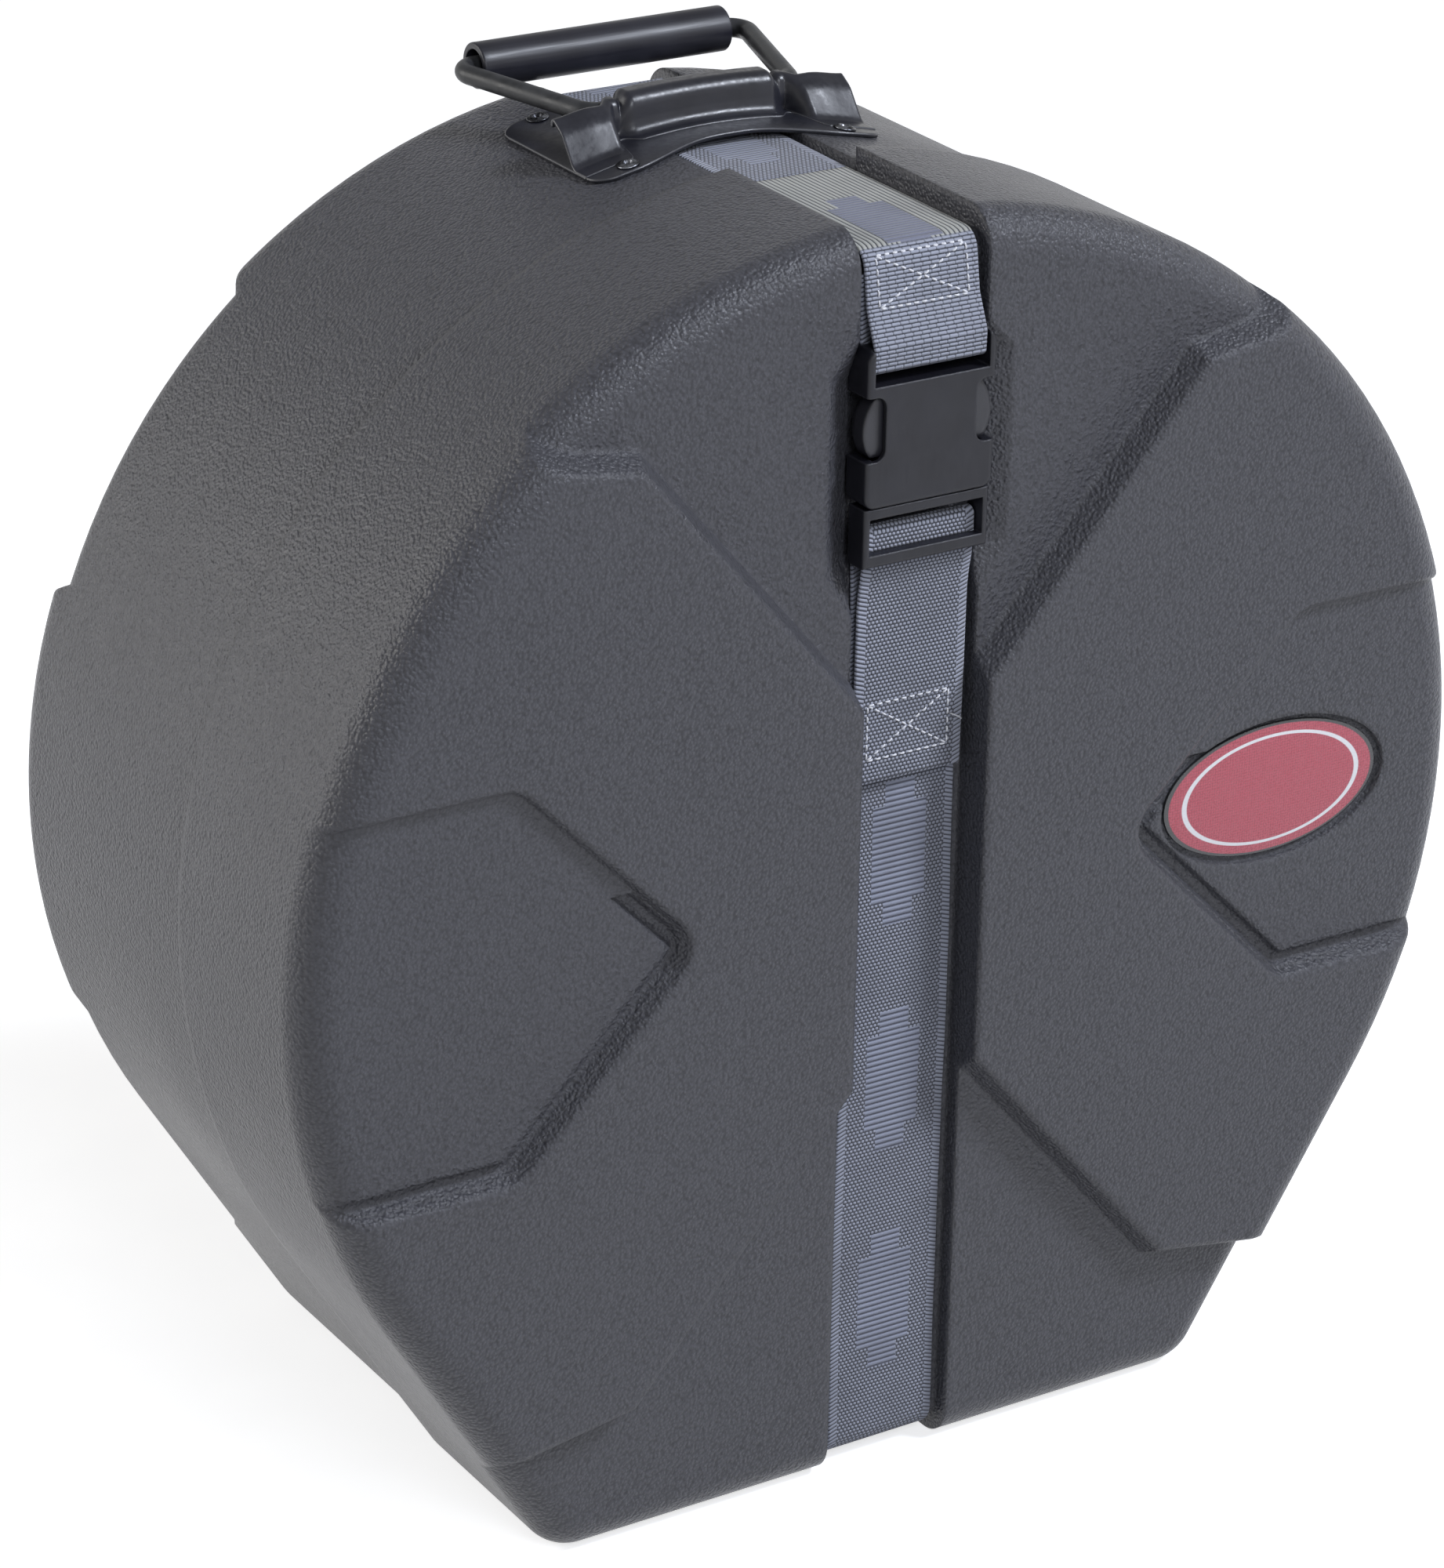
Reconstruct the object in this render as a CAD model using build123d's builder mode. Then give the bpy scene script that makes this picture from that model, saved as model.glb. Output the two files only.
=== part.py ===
from build123d import *
from math import asin, atan, cos, degrees, radians, sin, sqrt, tan
import os

# Hard case for a snare drum. It stands upright on its foot: X across, Z up, Y from the lid at
# the front to the back. Lengths are millimetres. Places along Y are worked out as depths behind
# the lid's front face, and heights in the moulded relief are counted from the round's centre.

# Case outline: a round that runs down into two foot corners
outline_radius = 237.0
centre_height = 232.0
foot_reach = 125.0
foot_radius = 19.0
case_depth = 229.0
wall = 4.0
rim_radius = 14.0
overrun = 5.0

# Lid and the neck of the base that slides into it
lid_depth = 92.0
neck_length = 50.0
neck_slip = 0.6
neck_lead = 1.5

# Crossed relief: side sectors stand proud on the lid, top and foot sectors on the base
relief_front = 10.0
relief_rear = 9.0
draft = 27.0
crest_radius = 2.5
touching = 0.01
cross_reach = 25.7
cross_height = 71.0
knee_reach = 112.0
knee_height = 172.0
brow_reach = 155.0
brow_height = 179.0

# Side pockets, open at the rim
pocket_level = 4.0
pocket_height = 72.5
pocket_shoulder = 158.0
pocket_nose = 86.0
pocket_corner = 14.0
groove_ledge = 0.5
groove_width = 11.0
groove_depth = 3.0
groove_end = 26.0

# Strap channel round the whole case
webbing_width = 44.5
webbing = 1.6
strap_gap = 0.3
channel_side = 3.25
channel_front = 17.6
channel_top = 9.7
channel_foot = 5.0
channel_rear = 11.0
channel_corner = 8.0

# Buckle pocket in the lid's front
bay_floor = 20.0
bay_draft = 57.0
bay_reach = 36.5
bay_end_reach = 24.5
bay_top = 200.5
bay_shoulder = 188.0
bay_hip = 118.0
bay_bottom = 99.0

# Badge plate and its seat
badge_offset = 153.6
badge_rise = 2.5
badge_half_length = 47.0
badge_half_height = 25.0
badge_thickness = 1.2
badge_margin = 2.5
badge_floor = 7.0

# Buckle socket
socket_half = 25.4
socket_front = 4.0
socket_thickness = 12.0
socket_top = 197.0
socket_corner = 4.0
socket_edge = 1.5
seam_height = 141.5
seam_gap = 0.3
slot_low = 184.5
slot_high = 190.0
slot_side = 0.55
bar_inset = 3.0
socket_wall = 2.0
cavity_half = 22.0
cavity_top = 183.0
window_low = 158.5
window_high = 181.0
window_reach = 7.5
window_corner = 4.0

# Buckle plug with its adjuster
plug_half = 24.9
plug_front = 5.0
plug_thickness = 9.5
plug_bottom = 120.6
plug_edge = 1.2
frame_side = 2.2
crossbar_height = 4.4
crossbar_thickness = 3.8
frame_head = 3.5
adjuster_low = 126.5
adjuster_high = 131.5
adjuster_front = 11.0
adjuster_thickness = 2.4
adjuster_round = 0.9
tongue_half = 4.5
tongue_length = 30.5
tongue_thickness = 3.0

# Spring arms of the plug
prong_pivot_reach = 14.5
prong_root = 2.6
prong_gap = 0.3
prong_arm = 3.8
prong_thickness = 6.8
prong_head_reach = 25.2
prong_head_inner = 13.0
prong_head_gap = 1.0
prong_tip_gap = 1.0
prong_shoulder_reach = 22.5
prong_tip_reach = 20.5

# Webbing round the buckle
loop_bend = 7.0
loop_shoulder = 209.0
loop_shoulder_depth = 11.5
loop_return_top = 220.0
loop_return_depth = 15.5
loop_fold = 1.6
tail_depth = 12.7
tail_start = 118.0
tail_drop = 106.0
tail_hem = 38.0
tail_fold = 33.0
tail_bend = 2.0
tail_ease = 20.0
inner_run_top = 120.0

# Stitching
thread = 0.6
thread_gap = 0.05
box_low = 47.0
box_high = 68.0
box_half = 16.8
row_half = 18.0
row_first = 210.0
row_second = 222.0

# Handle plate, pressed from sheet
sheet = 1.5
plate_gap = 0.1
plate_half = 58.5
plate_front_reach = 35.4
plate_rear_reach = 35.0
front_arch_rise = 9.4
rear_arch_rise = 14.0
ear_inner = 44.0
rear_ear_inner = 34.0
ear_corner = 9.0

# Handle bail and grip
rod_radius = 3.5
pivot_share = 0.4745
pivot_rise = 6.9
pivot_half = 41.0
bail_reach = 63.4
bail_half = 60.0
bail_tilt = 1.8
pivot_bend = 8.0
grip_bend = 7.0
grip_radius = 8.25
grip_bore_gap = 0.2
grip_half = 51.0
sleeve_clearance = 0.4
sleeve_half = 31.0
hood_inner = 37.5
hood_foot = 23.4
hood_brow = 9.5
hood_brow_rise = 1.4
hood_crest = 4.0
hood_crest_rise = 3.5
hood_bend = 10.0

# Rivets and their washers
rivet_reach = 43.8
rivet_front_reach = 30.0
rivet_rear_reach = 31.0
rivet_head_radius = 5.7
rivet_head_height = 2.0
rivet_dome = 1.8
rivet_shank = 2.4
rivet_hole = 2.5
rivet_tail_radius = 3.8
rivet_tail_height = 1.2
rivet_seat = 0.08
washer_radius = 6.0
washer_thickness = 1.2

# Foam lining
foam_thickness = 8.0
wall_foam_thickness = 12.0

# Sizes that follow
neck_inset = wall + neck_slip
base_radius = outline_radius - neck_inset
base_length = case_depth - lid_depth
case_height = centre_height + outline_radius
channel_half = webbing_width / 2 + channel_side
channel_ceiling = case_height - channel_top
neck_floor = channel_foot + wall + neck_slip
neck_ceiling = channel_ceiling - wall - neck_slip
draft_share = (1 - sin(radians(draft))) / cos(radians(draft))
far = outline_radius + overrun
plate_inner = base_radius + plate_gap
plate_outer = plate_inner + sheet
pivot_depth = lid_depth + pivot_share * base_length
pivot_height = centre_height + base_radius + pivot_rise
plate_front = pivot_depth - plate_front_reach
plate_rear = pivot_depth + plate_rear_reach
sleeve_radius = rod_radius + sleeve_clearance
slot_half = webbing_width / 2 + slot_side
strap_lift = strap_gap + webbing / 2
socket_middle = socket_front + socket_thickness / 2


def along(depth):
    """Y of a depth behind the lid's front face."""
    return depth - case_depth / 2


def at_depth(depth):
    """Upright plane at a depth, seen from the front: its local axes are X and Z."""
    return Plane.XZ.offset(-along(depth))


def raised(points):
    """Outline points with heights from the round's centre turned into heights from the floor."""
    return [(x, centre_height + height) for x, height in points]


def case_outline(inset, step=0):
    """Round and foot corners inset alike; a step moves the corners in and keeps the foot flat."""
    corner = foot_radius - inset + step
    with Locations((0, centre_height)):
        Circle(outline_radius - inset)
    with Locations((0, foot_radius)):
        Rectangle(2 * far, centre_height, align=(Align.CENTER, Align.MAX), mode=Mode.SUBTRACT)
    with Locations((step - foot_reach, foot_radius), (foot_reach - step, foot_radius)):
        Circle(corner)
    make_hull()


def blank(front, back, inset, step=0, rim=0):
    """Solid with the case outline between two depths, its front edge rounded by the rim."""
    with BuildPart() as body:
        with BuildSketch(at_depth(front)):
            case_outline(inset, step)
        extrude(amount=front - back)
        if rim > 0:
            fillet(body.faces().sort_by(Axis.Y)[0].edges(), rim)
    return body.part


def drafted(outlines, front, reach, taper, grow=0, corner=0):
    """Prisms that start at a depth and run back; a negative taper widens them on their way."""
    with BuildPart() as body:
        for points in outlines:
            with BuildSketch(at_depth(front)) as face:
                with BuildLine():
                    Polyline(*raised(points), close=True)
                make_face()
                if corner > 0:
                    inner = face.vertices().filter_by(lambda v: abs(v.X) < far - corner)
                    fillet(inner, corner)
                if grow != 0:
                    offset(amount=grow, kind=Kind.INTERSECTION)
            extrude(amount=-reach, taper=taper)
    return body.part


def combined(first, second, mode):
    """Second solid cut from the first one or crossed with it, by the mode given."""
    with BuildPart() as body:
        add(first)
        add(second, mode=mode)
    return body.part


def crested(piece, prisms):
    """Relief piece with its front edges rounded wherever the sides of the prisms cut it."""
    cuts = prisms.edges().group_by(Axis.Y)[0]
    with BuildPart() as body:
        add(piece)
        crest = [
            edge
            for edge in body.edges().group_by(Axis.Y)[0]
            if min(cut.distance_to(edge @ 0.5) for cut in cuts) < touching
        ]
        fillet(crest, crest_radius)
    return body.part


# Outlines of the relief: one for each side, or one above and one below
side_sectors = [
    [
        (side * cross_reach, cross_height),
        (side * knee_reach, knee_height),
        (side * brow_reach, brow_height),
        (side * far, brow_height),
        (side * far, -brow_height),
        (side * brow_reach, -brow_height),
        (side * knee_reach, -knee_height),
        (side * cross_reach, -cross_height),
    ]
    for side in (-1, 1)
]
end_sectors = [
    [
        (-cross_reach, side * cross_height),
        (-knee_reach, side * knee_height),
        (-brow_reach, side * brow_height),
        (-brow_reach, side * far),
        (brow_reach, side * far),
        (brow_reach, side * brow_height),
        (knee_reach, side * knee_height),
        (cross_reach, side * cross_height),
    ]
    for side in (-1, 1)
]
side_pockets = [
    [
        (side * 2 * far, pocket_height),
        (side * pocket_shoulder, pocket_height),
        (side * pocket_nose, 0),
        (side * pocket_shoulder, -pocket_height),
        (side * 2 * far, -pocket_height),
    ]
    for side in (-1, 1)
]


def lid_form(inset, back):
    """Moulded form of the lid to a depth. Inset by one wall it is the space inside the lid."""
    rim = rim_radius - inset
    grow = inset * draft_share
    sectors = drafted(side_sectors, inset, relief_front + rim, -draft, -grow)
    pockets = drafted(side_pockets, inset, pocket_level + rim, draft, grow, pocket_corner)
    proud = combined(sectors, pockets, Mode.SUBTRACT)
    with BuildPart() as form:
        add(blank(inset + relief_front, back, inset, rim=rim))
        middle = blank(inset + pocket_level, back, inset, rim=rim)
        add(combined(middle, sectors, Mode.INTERSECT))
        top = combined(blank(inset, back, inset, rim=rim), proud, Mode.INTERSECT)
        add(crested(top, proud) if inset == 0 else top)
    return form.part


def base_form(inset, back):
    """Moulded form of the base, drawn with its rear face forward at depth zero."""
    rim = rim_radius - inset + neck_inset
    cover = inset - neck_inset
    grow = cover * draft_share
    narrowed = grow + relief_rear * tan(radians(draft))
    sectors = drafted(end_sectors, cover, relief_rear + rim, -draft, -narrowed)
    islands = drafted(side_pockets, cover, relief_rear + rim, -draft, -grow, pocket_corner)
    with BuildPart() as form:
        add(blank(cover + relief_rear, back, inset, neck_inset, rim))
        for prisms in (sectors, islands):
            top = combined(blank(cover, back, inset, neck_inset, rim), prisms, Mode.INTERSECT)
            add(crested(top, prisms) if cover == 0 else top)
    return form.part


def strap_band(half, start, back, core_front, low, high, corner):
    """Slab across the case, outside a core with rounded front corners that the strap runs round."""
    core_back = back + corner + overrun
    with BuildPart() as slab:
        with BuildSketch(Plane.YZ):
            with Locations((along((start + back) / 2), case_height / 2)):
                Rectangle(back - start, case_height + 2 * overrun)
            with Locations((along((core_front + core_back) / 2), (low + high) / 2)):
                RectangleRounded(core_back - core_front, high - low, corner, mode=Mode.SUBTRACT)
        extrude(amount=half, both=True)
    return slab.part


def bay(front, back, cover):
    """Pocket that the buckle lies in, between two depths, with a cover of wall over it."""
    grow = (cover + (relief_front - front) * sin(radians(bay_draft))) / cos(radians(bay_draft))
    points = [
        (side * reach, height)
        for side, order in ((1, 1), (-1, -1))
        for reach, height in [
            (bay_end_reach, bay_top),
            (bay_reach, bay_shoulder),
            (bay_reach, bay_hip),
            (bay_end_reach, bay_bottom),
        ][::order]
    ]
    return drafted([points], front, back - front, bay_draft, grow)


def badge_oval(margin):
    """Oval of the badge plate with a margin round it."""
    with Locations((badge_offset, centre_height + badge_rise)):
        Ellipse(badge_half_length + margin, badge_half_height + margin)


def wall_place(side, depth):
    """Plane on the case's axis whose normal points out through a rivet."""
    lean = asin(side * rivet_reach / plate_outer)
    return Plane(
        origin=(0, along(depth), centre_height), x_dir=(0, 1, 0), z_dir=(sin(lean), 0, cos(lean))
    )


rivet_places = [
    wall_place(side, depth)
    for side in (-1, 1)
    for depth in (pivot_depth - rivet_front_reach, pivot_depth + rivet_rear_reach)
]


def pocket_edge(side, shift):
    """Outline of a side pocket moved inwards by a shift, and run out beyond the rim."""
    slope = atan(pocket_height / (pocket_shoulder - pocket_nose))
    nose = pocket_nose + shift / sin(slope)
    shoulder = nose + (pocket_height - shift) / tan(slope)
    height = pocket_height - shift
    points = ((2 * far, -height), (shoulder, -height), (nose, 0), (shoulder, height), (2 * far, height))
    return raised([(side * x, z) for x, z in points])


def pocket_grooves(cover):
    """Grooves along the lower edges of the side pockets' floors, with a cover of wall over them."""
    with BuildPart() as body:
        for side in (-1, 1):
            with BuildSketch(at_depth(0)) as face:
                with BuildLine():
                    Polyline(*pocket_edge(side, groove_ledge), close=True)
                make_face()
                fillet(face.vertices().filter_by(lambda v: abs(v.X) < far), pocket_corner - groove_ledge)
                with BuildLine():
                    Polyline(*pocket_edge(side, groove_width), close=True)
                make_face(mode=Mode.SUBTRACT)
                with Locations((0, centre_height + groove_end)):
                    Rectangle(4 * far, far, align=(Align.CENTER, Align.MIN), mode=Mode.SUBTRACT)
                if cover > 0:
                    offset(amount=cover / cos(radians(draft)), kind=Kind.INTERSECTION)
            extrude(amount=-(pocket_level + groove_depth + cover), taper=draft)
    return body.part


# Lid shell
lid_outside = lid_form(0, lid_depth)
lid_inside = lid_form(wall, lid_depth + overrun)
lid_channel = strap_band(
    channel_half, -overrun, lid_depth + overrun, channel_front, channel_foot, channel_ceiling, channel_corner
)
lid_backing = strap_band(
    channel_half + wall,
    -overrun,
    lid_depth + 2 * overrun,
    channel_front + wall,
    channel_foot + wall,
    channel_ceiling - wall,
    channel_corner - wall,
)
with BuildPart() as lid_hollow:
    add(lid_inside)
    add(lid_backing, mode=Mode.SUBTRACT)
    add(bay(0, bay_floor + wall, wall), mode=Mode.SUBTRACT)
    add(pocket_grooves(wall), mode=Mode.SUBTRACT)
    with BuildSketch(at_depth(0)):
        badge_oval(badge_margin + wall)
    extrude(amount=-(badge_floor + wall), mode=Mode.SUBTRACT)
with BuildPart() as lid_shell:
    add(lid_outside)
    add(lid_hollow.part, mode=Mode.SUBTRACT)
    add(lid_channel, mode=Mode.SUBTRACT)
    add(bay(-overrun, bay_floor, 0), mode=Mode.SUBTRACT)
    add(pocket_grooves(0), mode=Mode.SUBTRACT)
    with BuildSketch(at_depth(-overrun)):
        badge_oval(badge_margin)
    extrude(amount=-(badge_floor + overrun), mode=Mode.SUBTRACT)

# Base shell, drawn rear face forward and turned round at the end
base_channel = strap_band(
    channel_half, -overrun, base_length, channel_rear, channel_foot, channel_ceiling, channel_corner
)
base_backing = strap_band(
    channel_half + wall,
    -overrun,
    base_length,
    channel_rear + wall,
    channel_foot + wall,
    channel_ceiling - wall,
    channel_corner - wall,
)
neck_end = base_length + neck_length
neck_half = channel_half + wall + neck_slip
neck_channel = strap_band(
    neck_half, base_length, neck_end + overrun, 0, neck_floor, neck_ceiling, channel_corner
)
neck_backing = strap_band(
    neck_half + wall,
    base_length - wall,
    neck_end + 2 * overrun,
    0,
    neck_floor + wall,
    neck_ceiling - wall,
    channel_corner,
)
with BuildPart() as base_neck:
    add(blank(base_length - overrun, neck_end, neck_inset))
    chamfer(base_neck.faces().sort_by(Axis.Y)[-1].edges(), neck_lead)
with BuildPart() as base_hollow:
    add(base_form(neck_inset + wall, base_length - wall))
    add(blank(base_length - wall - overrun, neck_end + overrun, neck_inset + wall))
    add(base_backing, mode=Mode.SUBTRACT)
    add(neck_backing, mode=Mode.SUBTRACT)
with BuildPart() as base_turned:
    add(base_form(neck_inset, base_length))
    add(base_neck.part)
    add(base_hollow.part, mode=Mode.SUBTRACT)
    add(base_channel, mode=Mode.SUBTRACT)
    add(neck_channel, mode=Mode.SUBTRACT)
with BuildPart() as base_shell:
    mirror(base_turned.part, about=Plane.XZ)
    for place in rivet_places:
        with BuildSketch(place.offset(base_radius - wall - overrun)):
            Circle(rivet_hole)
        extrude(amount=wall + 2 * overrun, mode=Mode.SUBTRACT)

# Badge plate on the floor of its seat
with BuildPart() as badge_plate:
    with BuildSketch(at_depth(badge_floor - badge_thickness)):
        badge_oval(0)
    extrude(amount=-badge_thickness)
    chamfer(badge_plate.faces().sort_by(Axis.Y)[0].edges(), badge_thickness / 3)

# Buckle socket: a flat box with a mouth below, a webbing slot above and a window at each side
socket_low = seam_height + seam_gap
with BuildPart() as buckle_socket:
    with BuildSketch(at_depth(socket_front)):
        with Locations((0, centre_height + (socket_low + socket_top) / 2)):
            RectangleRounded(2 * socket_half, socket_top - socket_low, socket_corner)
    extrude(amount=-socket_thickness)
    fillet(buckle_socket.faces().sort_by(Axis.Y)[0].edges(), socket_edge)
    with BuildSketch(at_depth(socket_front - overrun)):
        with Locations((0, centre_height + (slot_low + slot_high) / 2)):
            Rectangle(2 * slot_half, slot_high - slot_low)
    extrude(amount=-(socket_thickness + 2 * overrun), mode=Mode.SUBTRACT)
    for face_depth in (socket_front - overrun, socket_front + socket_thickness - bar_inset):
        with BuildSketch(at_depth(face_depth)):
            with Locations((0, centre_height + slot_high)):
                Rectangle(2 * slot_half, far, align=(Align.CENTER, Align.MIN))
        extrude(amount=-(bar_inset + overrun), mode=Mode.SUBTRACT)
    with BuildSketch(Plane.XY.offset(centre_height + socket_low - overrun)):
        with Locations((0, along(socket_middle))):
            Rectangle(2 * cavity_half, socket_thickness - 2 * socket_wall)
    extrude(amount=cavity_top - socket_low + overrun, mode=Mode.SUBTRACT)
    with BuildSketch(at_depth(socket_front - overrun)):
        with Locations(*raised([(side * socket_half, (window_low + window_high) / 2) for side in (-1, 1)])):
            RectangleRounded(2 * window_reach, window_high - window_low, window_corner)
    extrude(amount=-(socket_thickness + 2 * overrun), mode=Mode.SUBTRACT)

# Buckle plug: frame with a window, the adjuster bar across it and the guide tongue above
plug_height = seam_height - plug_bottom
with BuildPart() as buckle_plug:
    with BuildSketch(at_depth(plug_front)):
        with Locations((0, centre_height + plug_bottom + plug_height / 2)):
            Rectangle(2 * plug_half, plug_height)
    extrude(amount=-plug_thickness)
    fillet(buckle_plug.faces().sort_by(Axis.Y)[0].edges().sort_by(Axis.Z)[:-1], plug_edge)
    with BuildSketch(at_depth(plug_front - overrun)):
        with Locations((0, centre_height + plug_bottom + crossbar_height)):
            Rectangle(
                2 * (plug_half - frame_side),
                plug_height - crossbar_height - frame_head,
                align=(Align.CENTER, Align.MIN),
            )
    extrude(amount=-(plug_thickness + 2 * overrun), mode=Mode.SUBTRACT)
    with BuildSketch(at_depth(plug_front + crossbar_thickness)):
        with Locations((0, centre_height + plug_bottom - overrun)):
            Rectangle(
                2 * (plug_half - frame_side),
                crossbar_height + 2 * overrun,
                align=(Align.CENTER, Align.MIN),
            )
    extrude(amount=-plug_thickness, mode=Mode.SUBTRACT)
    with BuildSketch(Plane.YZ):
        with Locations(
            (
                along(adjuster_front + adjuster_thickness / 2),
                centre_height + (adjuster_low + adjuster_high) / 2,
            )
        ):
            RectangleRounded(adjuster_thickness, adjuster_high - adjuster_low, adjuster_round)
    extrude(amount=plug_half - frame_side / 2, both=True)
    with BuildSketch(at_depth(socket_middle - tongue_thickness / 2)):
        with Locations((0, centre_height + seam_height - frame_head / 2)):
            Rectangle(
                2 * tongue_half, tongue_length + frame_head / 2, align=(Align.CENTER, Align.MIN)
            )
    extrude(amount=-tongue_thickness)

# Spring arms: a root that the arm bends about, and a head that fills the socket's window
root_height = seam_height + prong_gap + prong_root
head_low = window_low + prong_head_gap
head_high = window_high - prong_tip_gap
prongs = []
for side in (-1, 1):
    with BuildPart() as prong:
        with BuildSketch(at_depth(socket_middle - prong_thickness / 2)) as shape:
            with Locations((side * prong_pivot_reach, centre_height + root_height)):
                Circle(prong_root)
            with Locations((side * prong_pivot_reach, centre_height + root_height)):
                Rectangle(prong_arm, head_high - root_height - prong_root, align=(Align.CENTER, Align.MIN))
            with BuildLine():
                low_in, low_out, bulge, high_out, high_in = raised(
                    [
                        (side * prong_head_inner, head_low),
                        (side * prong_shoulder_reach, head_low),
                        (side * prong_head_reach, (head_low + head_high) / 2),
                        (side * prong_tip_reach, head_high),
                        (side * prong_head_inner, head_high),
                    ]
                )
                Line(low_in, low_out)
                ThreePointArc(low_out, bulge, high_out)
                Polyline(high_out, high_in, low_in)
            make_face()
        extrude(amount=-prong_thickness)
    prongs.append(prong.part)

# Webbing: each run is one ribbon swept along its centre line, in the plane across the case
top_run = channel_ceiling + strap_lift
foot_run = channel_foot - strap_lift
bar_front = socket_front + bar_inset
bar_back = socket_front + socket_thickness - bar_inset


def centre_line(points):
    """Places in the YZ plane from depths and heights above the floor."""
    return [(along(depth), height) for depth, height in points]


with BuildPart() as strap_upper:
    with BuildLine(Plane.YZ) as upper_run:
        FilletPolyline(
            *centre_line(
                [
                    (lid_depth - strap_gap, top_run),
                    (channel_front - strap_lift - webbing, top_run),
                    (loop_shoulder_depth, centre_height + loop_shoulder),
                    (bar_front - strap_lift, centre_height + socket_top),
                    (bar_front - strap_lift, centre_height + slot_high - strap_lift),
                    (bar_back + strap_lift, centre_height + slot_high - strap_lift),
                    (loop_return_depth, centre_height + loop_return_top),
                ]
            ),
            radius=[loop_bend, loop_bend, loop_bend / 2, loop_fold, loop_fold],
        )
    with BuildSketch(Plane(origin=upper_run.line @ 0, x_dir=(1, 0, 0), z_dir=upper_run.line % 0)):
        Rectangle(webbing_width, webbing)
    sweep()

with BuildPart() as strap_lower:
    with BuildLine(Plane.YZ) as lower_run:
        FilletPolyline(
            *centre_line(
                [
                    (lid_depth - strap_gap, foot_run),
                    (channel_front - strap_lift, foot_run),
                    (channel_front - strap_lift, centre_height + inner_run_top),
                ]
            ),
            radius=channel_corner + strap_lift,
        )
    with BuildSketch(Plane(origin=lower_run.line @ 0, x_dir=(1, 0, 0), z_dir=lower_run.line % 0)):
        Rectangle(webbing_width, webbing)
    sweep()

with BuildPart() as strap_rear:
    with BuildLine(Plane.YZ) as rear_run:
        FilletPolyline(
            *centre_line(
                [
                    (lid_depth + strap_gap, top_run),
                    (case_depth - channel_rear + strap_lift, top_run),
                    (case_depth - channel_rear + strap_lift, foot_run),
                    (lid_depth + strap_gap, foot_run),
                ]
            ),
            radius=channel_corner + strap_lift,
        )
    with BuildSketch(Plane(origin=rear_run.line @ 0, x_dir=(1, 0, 0), z_dir=rear_run.line % 0)):
        Rectangle(webbing_width, webbing)
    sweep()

wrap_front = adjuster_front - strap_lift
wrap_back = adjuster_front + adjuster_thickness + strap_lift
with BuildPart() as strap_tail:
    with BuildLine(Plane.YZ) as tail_run:
        FilletPolyline(
            *centre_line(
                [
                    (wrap_back, centre_height + tail_start),
                    (wrap_back, centre_height + adjuster_high + strap_lift),
                    (wrap_front, centre_height + adjuster_high + strap_lift),
                    (wrap_front, centre_height + plug_bottom),
                    (tail_depth, centre_height + tail_drop),
                    (tail_depth, centre_height + tail_hem),
                ]
            ),
            radius=[tail_bend, tail_bend, tail_ease, tail_ease],
        )
    with BuildSketch(Plane(origin=tail_run.line @ 0, x_dir=(1, 0, 0), z_dir=tail_run.line % 0)):
        Rectangle(webbing_width, webbing)
    sweep()
    with BuildSketch(at_depth(tail_depth)):
        with Locations((0, centre_height + tail_hem)):
            Rectangle(webbing_width, tail_fold, align=(Align.CENTER, Align.MIN))
    extrude(amount=-webbing * 3 / 2)

# Stitching: the crossed box on the tail, and two rows where the loop is sewn to itself
box_height = box_high - box_low
box_slant = degrees(atan(box_height / (2 * box_half)))
with BuildPart() as tail_stitching:
    with BuildSketch(at_depth(tail_depth - webbing / 2 - thread_gap - thread)):
        with Locations((0, centre_height + (box_low + box_high) / 2)):
            Rectangle(2 * box_half, box_height)
            Rectangle(2 * (box_half - thread), box_height - 2 * thread, mode=Mode.SUBTRACT)
            for slant in (-box_slant, box_slant):
                Rectangle(2 * (box_half - thread) / cos(radians(box_slant)), thread, rotation=slant)
    extrude(amount=-thread)

with BuildPart() as loop_stitching:
    for row in (row_first, row_second):
        climb = (row - loop_shoulder) / (top_run - centre_height - loop_shoulder)
        run_depth = loop_shoulder_depth + climb * (
            channel_front - strap_lift - webbing - loop_shoulder_depth
        )
        with BuildSketch(at_depth(run_depth - webbing / 2 - 3 * thread_gap - thread)):
            with Locations((0, centre_height + row)):
                Rectangle(2 * row_half, thread)
        extrude(amount=-thread)

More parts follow.
